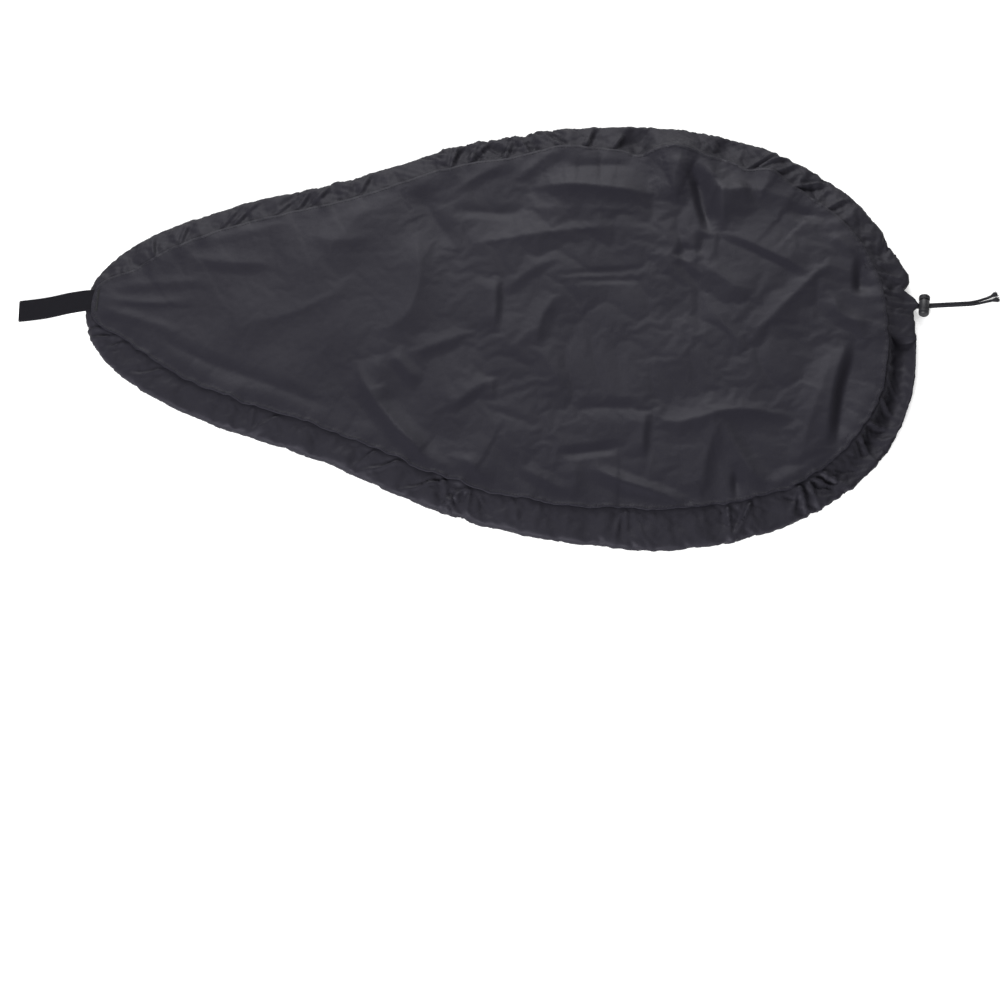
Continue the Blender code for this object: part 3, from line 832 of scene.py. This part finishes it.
# Pleats that cross the band: x, half-width and depth (mm), slant (mm along per mm across)
NEAR_PLEATS = (
    (277, 3.0, -5.0, 0.15), (293, 3.0, -5.0, 0.85), (366, 3.4, -3.5, 0.2), (379, 3.2, -5.0, 0.1),
    (408, 3.4, -4.5, -0.5), (400, 3.0, -3.5, -0.9), (352, 3.4, -2.5, 0.8), (450, 3.4, -3.5, 0.4),
    (470, 3.0, -4.0, -0.5), (480, 3.0, -3.0, 0.3), (488, 3.0, -2.0, 0.6), (494, 3.2, -1.6, -0.4),
    (-56, 3.4, -4.0, 0.5), (-38, 3.2, -3.4, -0.2), (-66, 3.2, -3.0, -0.6), (-100, 3.4, -3.0, 1.6),
    (-150, 3.6, -3.0, 1.2), (-170, 3.0, -3.0, 0.5), (-290, 3.2, -2.4, 0.8), (-302, 3.0, -2.0, -0.3),
    (-440, 3.0, -2.0, 1.0), (-485, 2.8, -2.2, 0.3), (-499, 2.8, -1.8, 0.6), (-506, 2.8, -1.6, 0.3),
    (20, 3.0, -2.0, -0.5), (140, 3.0, -3.0, 0.1), (150, 3.0, -3.0, -0.1),
)
FAR_PLEATS = (
    (-80, 3.4, -4.0, 0.6), (-56, 3.0, -4.0, 0.6), (-48, 3.0, -3.5, 0.9), (-15, 3.6, -4.0, 0.5),
    (5, 3.2, -4.0, -0.3), (40, 3.4, -3.4, -0.6), (92, 3.2, -4.0, 0.4), (130, 4.0, -4.0, 0.5),
    (318, 3.4, -4.5, 0.7), (332, 3.2, -4.0, 0.9), (350, 3.0, -3.0, 0.4), (385, 3.4, -4.0, 0.8),
    (420, 3.2, -3.0, 0.2), (486, 3.0, -2.4, 0.5), (491, 3.0, -2.4, 0.3), (-190, 3.2, -2.4, 0.8),
    (-242, 3.2, -2.2, 1.2), (-262, 3.0, -2.6, 0.8), (-276, 3.0, -1.8, 1.6), (-330, 3.0, -2.4, 1.4),
    (-350, 3.0, -2.0, 1.2), (-410, 2.8, -2.4, 0.8), (-450, 2.8, -2.4, 0.6),
)


def band_pleats():
    """Deep narrow folds across the band, fading out before the floor."""
    t = np.linspace(0, BAND_WIDTH / MM, BAND_ROWS)[None]
    past_fold = (1 - 0.75 * smooth_step((t - 28) / 16)) * (1 - smooth_step((t - 62) / 25))
    visible = smooth_step((t - 8.5) / 7) * past_fold
    total = np.zeros((STATIONS, BAND_ROWS))
    for on_side, pleats in ((~FAR_SIDE, NEAR_PLEATS), (FAR_SIDE, FAR_PLEATS)):
        for x, half, depth, slant in pleats:
            gap = np.where(on_side, np.abs(RING[:, 0] - x * MM), np.inf)
            centre = ALONG[int(np.argmin(gap))]
            across = (ALONG[:, None] - centre) / MM - slant * (t - 30)
            lip = hump(across - 2.2 * half, 1.6 * half) * 0.45
            total += depth * (hump(across, half) - lip) * visible
    return total * MM


def pinch_to_cords(points):
    """Draws the fold out to the cords in a small funnel, with a notch and a bulge beside it."""
    beyond = (ALONG[EXIT] - ALONG) / MM
    funnel = 8 * hump(beyond, np.where(beyond > 0, 11, 5))
    notch = 7 * hump(beyond - 22, 7)
    bulge = 4.5 * hump(beyond - 42, 14)
    above_floor = np.linspace(0, 1, BAND_ROWS)[None] < 0.62
    outer = hump(points[..., 2] - FOLD_MIDDLE, FOLD_MIDDLE) * above_floor
    outward = np.append(np.array(CORD_WAY.xy), 0)
    points = points + outward * ((funnel - notch + bulge)[:, None] * outer * MM)[..., None]
    wide = hump(FROM_EXIT, GATHERED)[:, None]
    radial = np.cos(TURN * FROM_EXIT / (9 * MM))[:, None]
    points[..., 2] += radial * wide * outer * 1.4 * MM
    ahead = (points[..., :2] - EXIT_EDGE[:2]) @ np.array(CORD_WAY.xy)
    lowered = 0.75 * np.exp(-((FROM_EXIT / GATHERED) ** 4))[:, None] * hump(ahead, 13 * MM)
    points[..., 2] -= lowered * np.clip(points[..., 2] - 10 * MM, 0, None)
    return points


def fullness():
    """The share of slack in the band at each station: calm stretches between crumpled ones."""
    wander = ring_ripples(ALONG, 0, 110, 1, seed=27)
    return np.clip(0.45 + 0.16 * wander + 0.6 * near_any(CRUMPLED), 0.15, 1)


def side_band():
    profiles = band_profiles()
    inset, height = profiles[..., 0], profiles[..., 1]
    points = placed(inset, height)
    normal = surface_normals(points)
    points = points + normal * band_wrinkles()[..., None]
    points = pinch_to_cords(points)
    points[..., 2] = np.maximum(points[..., 2], LOWEST_CLOTH)
    faces = open_at_exit(grid_faces(STATIONS, BAND_ROWS, wrap_rows=True), profiles)
    band = mesh_object("band_cloth", points.reshape(-1, 3), faces, BAND_NYLON_PAINTED_LIGHTER)
    share = np.tile(np.linspace(0, 1, BAND_ROWS), STATIONS)
    under_panel, on_floor = share < 0.075, share > 0.6
    held = np.where(under_panel | on_floor)[0]
    loose = smooth_step((share - 0.05) / 0.1) * (1 - smooth_step((share - 0.5) / 0.1))
    loose *= np.repeat(fullness(), BAND_ROWS)
    relax(band, held, loose, slack=0.034, stiffness=2, grip=0)
    press_pleats(band)
    drop_loose(band)
    face_up(band)
    thicken(band, CLOTH)
    return finish_piece(band, "side_band", "cover")


def press_pleats(band):
    """Presses the pleats into the settled band, and keeps it on the floor."""
    flat = np.empty(len(band.data.vertices) * 3)
    band.data.vertices.foreach_get("co", flat)
    points = flat.reshape(STATIONS, BAND_ROWS, 3)
    points = points + surface_normals(points) * band_pleats()[..., None]
    points[..., 2] = np.maximum(points[..., 2], LOWEST_CLOTH)
    band.data.vertices.foreach_set("co", points.ravel())
    band.data.update()


def open_at_exit(faces, profiles):
    """Leaves out the under half of the band where the cords come out."""
    low = profiles[..., 1] < FOLD_RADIUS
    beyond = np.cumsum(low, axis=1) > 2
    half_gap = 5.5 * MM
    gone = (beyond & (FROM_EXIT < half_gap)[:, None]).ravel()
    return [face for face in faces if not all(gone[i] for i in face)]


def drop_loose(obj):
    """Removes vertices that no face uses."""
    edit_mesh(obj, delete_loose)


def delete_loose(bm):
    unused = [vert for vert in bm.verts if not vert.link_faces]
    bmesh.ops.delete(bm, geom=unused, context="VERTS")


# --- stitching and tape


def seam_tape():
    """The binding tape under the seam, inside the cover."""
    inset = SEAM_IN[:, None] + np.array((1.0, 3.5, 6.0, 8.5, 10.0))[None] * MM
    ripple = ring_ripples(ALONG[:, None], inset, 22, 40, seed=31) * 0.25 * MM
    height = SEAM_HIGH[:, None] - 4.6 * MM + ripple - 0.1 * (inset - SEAM_IN[:, None])
    points = placed(inset, height)
    tape = mesh_object("seam_tape", points.reshape(-1, 3), grid_faces(STATIONS, 5, wrap_rows=True), TAPE)
    face_up(tape)
    thicken(tape, 0.6 * MM)
    return finish_piece(tape, "seam_binding", "cover")


def stitch_row(name, path, stitch, gap, radius, lift):
    """A row of separate stitches along a path; each dips into the cloth at its ends."""
    run = run_along(path)
    count = int(run[-1] // (stitch + gap))
    pitch = run[-1] / count
    section = circle(radius, 6)
    shape = np.linspace(-0.5, 0.5, 6)
    stitches = []
    for i in range(count):
        at = (i + 0.5) * pitch + shape * stitch
        centre = np.stack([np.interp(at, run, path[:, k]) for k in range(3)], axis=1)
        centre[:, 2] += lift * (1 - (2 * shape) ** 4) - radius * (2 * shape) ** 4
        narrow = np.sqrt(np.clip(1 - (1.9 * shape) ** 6, 0.1, 1))
        stitches.append(swept(centre, section[None] * narrow[:, None, None]))
    return mesh_object(name, *joined(stitches), THREAD)


def surface_path(tree, flat):
    """A path laid on a surface from above."""
    path = []
    for x, y in flat:
        hit = tree.ray_cast(Vector((x, y, 0.2)), -UP)[0]
        path.append(tuple(hit))
    return np.array(path)


def mesh_tree(obj):
    verts = [v.co for v in obj.data.vertices]
    return BVHTree.FromPolygons(verts, [tuple(p.vertices) for p in obj.data.polygons])


def seam_stitches(panel):
    """The row of stitches just inside the panel's folded edge."""
    flat = RING + INWARD * (SEAM_IN + 2.4 * MM)[:, None]
    flat = np.vstack((flat, flat[:1]))
    path = surface_path(mesh_tree(panel), flat)
    stitches = stitch_row("seam_stitches", path, 2.9 * MM, 0.9 * MM, 0.28 * MM, 0.12 * MM)
    return finish_piece(stitches, "top_seam_thread", "cover")


def hem_stitches():
    """The row that closes the cord channel, on the inside of the hem."""
    clear = 18 * MM
    order = np.roll(np.arange(STATIONS), -EXIT)
    order = order[(FROM_EXIT > clear)[order]]
    inset = np.full(STATIONS, HEM_INSET - HEM_RADIUS - 1.2 * MM)
    flat = (RING + INWARD * inset[:, None])[order]
    path = np.column_stack((flat, np.full(len(flat), 2.6 * MM)))
    stitches = stitch_row("hem_stitches", path, 3.2 * MM, 1.4 * MM, 0.3 * MM, 0.1 * MM)
    return finish_piece(stitches, "hem_thread", "cover")


# --- pull strap

STRAP_WIDTH = 29 * MM
STRAP_PLY = 1.35 * MM


def strap_path():
    """The strap's middle line as (reach, z): out of the seam, down to the floor, and back."""
    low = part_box("pull_strap")[0]
    reach = math.hypot(STRAP_PIVOT.x - low.x, STRAP_PIVOT.y) + 0.3 * MM
    rise = STRAP_PIVOT.z
    upper = [(-9, rise / MM - 4.6), (-4, rise / MM - 4.2), (2, rise / MM - 3.9), (12, rise / MM - 5.2)]
    upper += [(30, 16.4), (46, 10.6), (62, 6.4), (80, 3.6), (reach / MM - 3, 2.4)]
    upper = resampled(smooth_path(upper, 4), 170)
    ply = STRAP_PLY / MM
    spread = np.interp(upper[:, 0], (0, 20, 60, 84, reach / MM), (0.52, 0.62, 0.75, 0.7, 0.62)) * ply
    slope = unit(np.gradient(upper, axis=0))
    across = np.stack((-slope[:, 1], slope[:, 0]), axis=1)
    over, beneath = upper + across * spread[:, None], upper - across * spread[:, None]
    end, way = upper[-1], slope[-1]
    turn = np.linspace(0.5, -0.5, 11)[1:-1] * math.pi
    bend = [end + spread[-1] * (way * math.cos(a) * 1.2 + across[-1] * math.sin(a)) for a in turn]
    return np.vstack((over, bend, beneath[::-1])) * MM


def webbing_section():
    """Half-round edges and a flat middle, as (across, thickness) points."""
    half, thick = STRAP_WIDTH / 2, STRAP_PLY / 2
    across = np.linspace(-half + thick, half - thick, 15)
    top = [(a, thick) for a in across]
    right = [(half - thick + thick * math.cos(a), thick * math.sin(a)) for a in (0.9, 0.3, -0.3, -0.9)]
    bottom = [(a, -thick) for a in across[::-1]]
    left = [(-half + thick - thick * math.cos(a), thick * math.sin(a)) for a in (-0.9, -0.3, 0.3, 0.9)]
    return np.array(top + right + bottom + left)


def pull_strap():
    """A length of webbing folded back on itself, its two ends sewn into the bow seam."""
    path = strap_path()
    outward = Vector((-STRAP_HINGE.y, STRAP_HINGE.x, 0))
    flat = np.array(STRAP_PIVOT.xy) + path[:, :1] * np.array(outward.xy)
    centre = resampled(np.column_stack((flat, path[:, 1])), 640)
    run = np.linspace(0, 1, len(centre))
    ribs = 1 + 0.09 * np.cos(TURN * run * 150)
    across, thick = webbing_section().T
    hinge = np.array(STRAP_HINGE)
    upward = np.cross(unit(np.gradient(centre, axis=0)), hinge)
    ribbed = upward[:, None] * (thick * ribs[:, None])[..., None]
    points = centre[:, None] + hinge * across[:, None] + ribbed
    strap = mesh_object("webbing_loop", *capped_skin(points), WEBBING, closed=True)
    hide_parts("pull_strap")
    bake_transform(strap)
    return strap


def strap_stitches(panel):
    """The bar tack through the panel and the strap's hidden ends: a dense zigzag row."""
    low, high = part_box("strap_tack")
    tree = mesh_tree(panel)
    turns = 22
    flat = []
    for i in range(2 * turns + 1):
        x = low.x if i % 2 else high.x
        flat.append((x, low.y + (high.y - low.y) * i / (2 * turns)))
    path = surface_path(tree, resampled(np.array(flat), 40 * turns))
    path[:, 2] += 0.15 * MM
    tack = mesh_object("strap_bar_tack", *swept(path, circle(0.3 * MM, 6)), THREAD, closed=True)
    return finish_piece(tack, "strap_tack", "cover")


# --- draw-cord

CORD_SIDE = np.array((CORD_WAY.y, -CORD_WAY.x, 0))
EXIT_EDGE = np.array(CORD_PIVOT) - 4 * MM * np.array(CORD_WAY)


def cord_place(reach, sideways, z):
    """A point reach mm outside the exit along the tails, and sideways mm towards -Y of their middle."""
    flat = EXIT_EDGE + np.array(CORD_WAY) * reach * MM + CORD_SIDE * sideways * MM
    return np.array((flat[0], flat[1], z * MM))


def cord_path():
    """The whole cord: the port tail's tip, in through the exit, round the hem and out to the other tip."""
    offset = STRAND_OFFSET / MM
    port = [(101.5, -6.3, 2), (96, -5.4, 2.2), (90, -3.8, 3.0), (82, -1.0, 4.8), (75, 0.9, 6.3)]
    far = [(101, -12.6, 2.4), (95, -9.6, 2.8), (89, -7.4, 3.6), (82, -4.6, 5.0), (75, -2.6, 6.4)]
    shared = [(reach, offset, 7) for reach in (70, 66, 48, 20, 0, -20)]
    shared += [(-36, offset, 6.4), (-47, 3.4, 6), (-51.5, 9, 5.8), (-52, 17, 5.8)]
    port += shared
    far += [(reach, -sideways, z) for reach, sideways, z in shared]
    enter = resampled(smooth_path([cord_place(*p) for p in port], 3), 420)
    leave = resampled(smooth_path([cord_place(*p) for p in far], 3), 420)[::-1]
    order = np.roll(np.arange(STATIONS), -EXIT)
    in_channel = FROM_EXIT > 19 * MM
    order = order[in_channel[order]][::2]
    flat = (RING + INWARD * HEM_INSET)[order]
    hem = np.column_stack((flat, np.full(len(flat), CHANNEL_Z)))
    return np.vstack((enter, hem, leave)), len(enter)


def draw_cord():
    """One elastic cord with a braided jacket and two tails."""
    path, fine = cord_path()
    sides, strands, pitch = 16, 8, 7 * MM
    turn = np.arange(sides) * TURN / sides
    phase = TURN * run_along(path)[:, None] / pitch
    braid = np.cos(strands * (turn[None] + phase)) + np.cos(strands * (turn[None] - phase))
    shown = np.zeros(len(path))
    shown[:fine], shown[-fine:] = 1, 1
    radius = CORD_RADIUS * (1 + 0.045 * braid * shown[:, None])
    sections = np.stack((radius * np.cos(turn), radius * np.sin(turn)), axis=2)
    cord = mesh_object("elastic_cord", *swept(path, sections), CORD, closed=True)
    for node in ("draw_cord", "cord_tail_port", "cord_tail_starboard"):
        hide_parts(node)
    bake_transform(cord)
    return path


def flared_jacket(tip, way):
    """The cord's jacket at a cut end, spread flat towards its tip."""
    reach = np.linspace(-2.0, 5.0, 12)[:, None]
    wide = np.interp(reach, (-2, 0, 5), (1.2, 2.0, 3.6))
    tall = np.interp(reach, (-2, 0, 5), (1.2, 1.5, 1.2))
    ragged = 1 + 0.08 * np.cos(9 * np.arange(20) * TURN / 20)
    ring = circle(1.0 * MM, 20) * ragged[:, None]
    return swept(tip + way * reach * MM, np.stack((ring[:, 0] * wide, ring[:, 1] * tall), axis=2))


def loose_fibre(rng, tip, way, side, up):
    """One fibre that sticks out of a cut end, clear of the floor."""
    angle = rng.uniform(0, TURN)
    out = side * math.cos(angle) * 2.7 + up * math.sin(angle) * 0.9
    start = tip + way * 3.6 * MM + out * rng.uniform(0.2, 0.95) * MM
    length = rng.uniform(2.0, 4.6) * MM
    steps = np.linspace(0, 1, 5)[:, None]
    fibre = start + way * length * steps + out * length * rng.uniform(0.05, 0.3) * steps**2
    fibre[:, 2] = np.maximum(fibre[:, 2], 0.4 * MM)
    return swept(fibre, circle(0.24 * MM, 5))


def cord_ends(path):
    """The cut ends: a flattened flare of jacket at each tip, with loose fibres at its end."""
    rng = np.random.default_rng(41)
    skins = []
    for tip, before in ((path[0], path[6]), (path[-1], path[-7])):
        way = unit(tip - before)
        side = unit(np.cross(way, (0, 0, 1)))
        skins.append(flared_jacket(tip, way))
        skins += [loose_fibre(rng, tip, way, side, np.cross(side, way)) for _ in range(34)]
    ends = mesh_object("frayed_cord_ends", *joined(skins), CORD, closed=True)
    return finish_piece(ends, None, "cord_tails")


# --- cord lock

# All in mm: the turned parts are drawn as (radius, distance along the axis) from the cords
LOCK_SIDES = 56
BARREL_FLOOR = -11.8
SLOT_WIDTH = 4.0
SLOT_CUT = 12
LOCK_ACROSS = LOCK_AXIS.cross(UP).normalized()


def lock_centre():
    """Where the lock's axis crosses the cords: 4 mm from the barrel's middle, towards the button."""
    low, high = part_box("lock_barrel")
    return (low + high) / 2 + LOCK_AXIS * 4 * MM


def turned_part(name, profile):
    """A turned solid about the lock's axis from (radius, along) points in mm, closed at both ends."""
    verts = []
    for radius, along in profile:
        for angle in np.arange(LOCK_SIDES) * TURN / LOCK_SIDES:
            out = LOCK_ACROSS * math.cos(angle) + UP * math.sin(angle)
            verts.append(LOCK_CENTRE + LOCK_AXIS * along * MM + out * radius * MM)
    points = np.array(verts).reshape(len(profile), LOCK_SIDES, 3)
    return mesh_object(name, *capped_skin(points), PLASTIC, closed=True)


def arc_points(centre_x, centre_y, radius, start, end, steps):
    """Points on an arc, with its angles in degrees."""
    angles = [math.radians(start + (end - start) * i / steps) for i in range(steps + 1)]
    return [(centre_x + radius * math.cos(a), centre_y + radius * math.sin(a)) for a in angles]


def cut_slot(part, low, high, edge):
    """Cuts the slot that the cords run through, and rounds the part's sharp edges."""
    radius = SLOT_WIDTH / 2
    outline = arc_points(low + radius, 0, radius, 270, 90, 12)
    outline += arc_points(high - radius, 0, radius, 90, -90, 12)
    verts = []
    for reach in (-SLOT_CUT, SLOT_CUT):
        for along, z in outline:
            verts.append(LOCK_CENTRE + LOCK_ACROSS * reach * MM + LOCK_AXIS * along * MM + UP * z * MM)
    points = np.array(verts).reshape(2, len(outline), 3)
    cutter = mesh_object("slot_cutter", *capped_skin(points), smooth=False, closed=True)
    cut = part.modifiers.new("slot", "BOOLEAN")
    set_values(cut, object=cutter, solver="EXACT")
    bevel = part.modifiers.new("edges", "BEVEL")
    set_values(bevel, width=edge * MM, segments=3, limit_method="ANGLE", angle_limit=math.radians(35))
    apply_modifiers(part)
    bpy.data.objects.remove(cutter)
    part.data.set_sharp_from_angle(angle=math.radians(40))
    return part


def lock_barrel():
    """The barrel: a domed cup with a grip groove, open towards the button."""
    profile = [(0.4, -13.6)]
    profile += arc_points(2.9, -10.0, 3.6, -84, 0, 10)
    profile += [(6.5, -8.2), (6.2, -7.8), (6.2, -7.0), (6.5, -6.6), (6.5, 5.2), (6.3, 5.6), (5.7, 5.6)]
    profile += [(5.7, 7.8), (5.5, 8.0), (5.0, 8.0), (4.8, 7.8), (4.8, -11.6)]
    profile += [(4.4, BARREL_FLOOR), (0.4, BARREL_FLOOR)]
    barrel = turned_part("lock_barrel_shell", profile)
    cut_slot(barrel, -4.8, 4.8, edge=0.18)
    return finish_piece(barrel, "lock_barrel", "cord_lock")


def lock_button():
    """The plunger: a stem in the barrel and a dished, ribbed push-button."""
    profile = [(0.4, -7.0), (4.2, -7.0), (4.6, -6.6), (4.6, 10.5), (6.0, 10.5), (6.0, 8.1)]
    profile += arc_points(6.2, 8.7, 0.6, -80, 0, 4)
    for groove in (9.9, 11.2):
        profile += [(6.8, groove - 0.35), (6.5, groove), (6.8, groove + 0.35)]
    profile += arc_points(5.6, 12.4, 1.2, 5, 85, 6)
    profile += [(4.6, 13.55), (3.8, 13.25), (0.4, 13.1)]
    button = turned_part("lock_button", profile)
    cut_slot(button, -4.4, 6.7, edge=0.15)
    return finish_piece(button, "lock_plunger", "lock_plunger")


def lock_spring():
    """The coil spring between the barrel's floor and the stem."""
    top, wire, radius = -7.15, 0.25, 3.6
    turns = np.linspace(0, 3, 97)
    rise = smooth_step((turns - 0.6) / 1.8)
    along = BARREL_FLOOR + wire + 0.05 + (top - BARREL_FLOOR - 2 * wire - 0.05) * rise
    angle = turns[:, None] * TURN
    out = np.array(LOCK_ACROSS) * np.cos(angle) + np.array(UP) * np.sin(angle)
    path = np.array(LOCK_CENTRE) + (np.array(LOCK_AXIS) * along[:, None] + out * radius) * MM
    skin = swept(path, circle(wire * MM, 10), tuple(LOCK_AXIS))
    spring = mesh_object("spring_coil", *skin, STEEL, closed=True)
    finish_piece(spring, "lock_spring", "cord_lock")
    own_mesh(spring)


# --- stage, light and camera


def stage():
    """The white studio floor."""
    material = bpy.data.materials.new("studio floor")
    material.use_nodes = True
    shader = material.node_tree.nodes["Principled BSDF"]
    looks = {"Base Color": (0.8, 0.8, 0.8, 1), "Roughness": 0.9, "Specular IOR Level": 0.1}
    looks.update({"Emission Color": (1, 1, 1, 1), "Emission Strength": 0.45})
    for key, value in looks.items():
        shader.inputs[key].default_value = value
    half = 12
    corners = [(-half, -half, 0), (half, -half, 0), (half, half, 0), (-half, half, 0)]
    floor = mesh_object("studio_floor", corners, [(0, 1, 2, 3)], material, smooth=False)


def soft_light(name, place, target, size, power):
    lamp = bpy.data.lights.new(name, "AREA")
    set_values(lamp, size=size, energy=power)
    light = bpy.data.objects.new(name, lamp)
    light.location = place
    light.rotation_euler = (Vector(target) - Vector(place)).to_track_quat("-Z", "Y").to_euler()
    bpy.context.scene.collection.objects.link(light)


def studio():
    world = bpy.data.worlds.new("studio")
    world.use_nodes = True
    background = world.node_tree.nodes["Background"]
    background.inputs["Color"].default_value = (1, 1, 1, 1)
    background.inputs["Strength"].default_value = 0.42
    bpy.context.scene.world = world
    soft_light("key", (-1.6, 9.6, 5.8), (0, 0, 0), 5.0, 1080)
    soft_light("back", (2.4, 9.2, 5.0), (0, 0, 0), 4.0, 200)
    soft_light("front", (-1.9, -4.6, 2.2), (0, 0, 0), 2.4, 520)


def camera():
    """The product view: from 62 degrees up, a little to the right of the middle."""
    elevation, azimuth, distance = math.radians(62), math.radians(2.6), 3.057
    target = Vector((3.4 * MM, -238 * MM, 0))
    flat = math.cos(elevation)
    back = Vector((math.sin(azimuth) * flat, -math.cos(azimuth) * flat, math.sin(elevation)))
    lens = bpy.data.cameras.new("camera")
    set_values(lens, lens=93.5, sensor_width=36)
    view = bpy.data.objects.new("camera", lens)
    view.location = target + back * distance
    view.rotation_euler = (-back).to_track_quat("-Z", "Y").to_euler()
    bpy.context.scene.collection.objects.link(view)
    bpy.context.scene.camera = view


# --- build

LOCK_CENTRE = lock_centre()
panel = top_panel()
side_band()
seam_tape()
seam_stitches(panel)
hem_stitches()
pull_strap()
strap_stitches(panel)
cord = draw_cord()
cord_ends(cord)
lock_barrel()
lock_button()
lock_spring()
stage()
studio()
camera()
bpy.context.scene.view_settings.view_transform = "Standard"
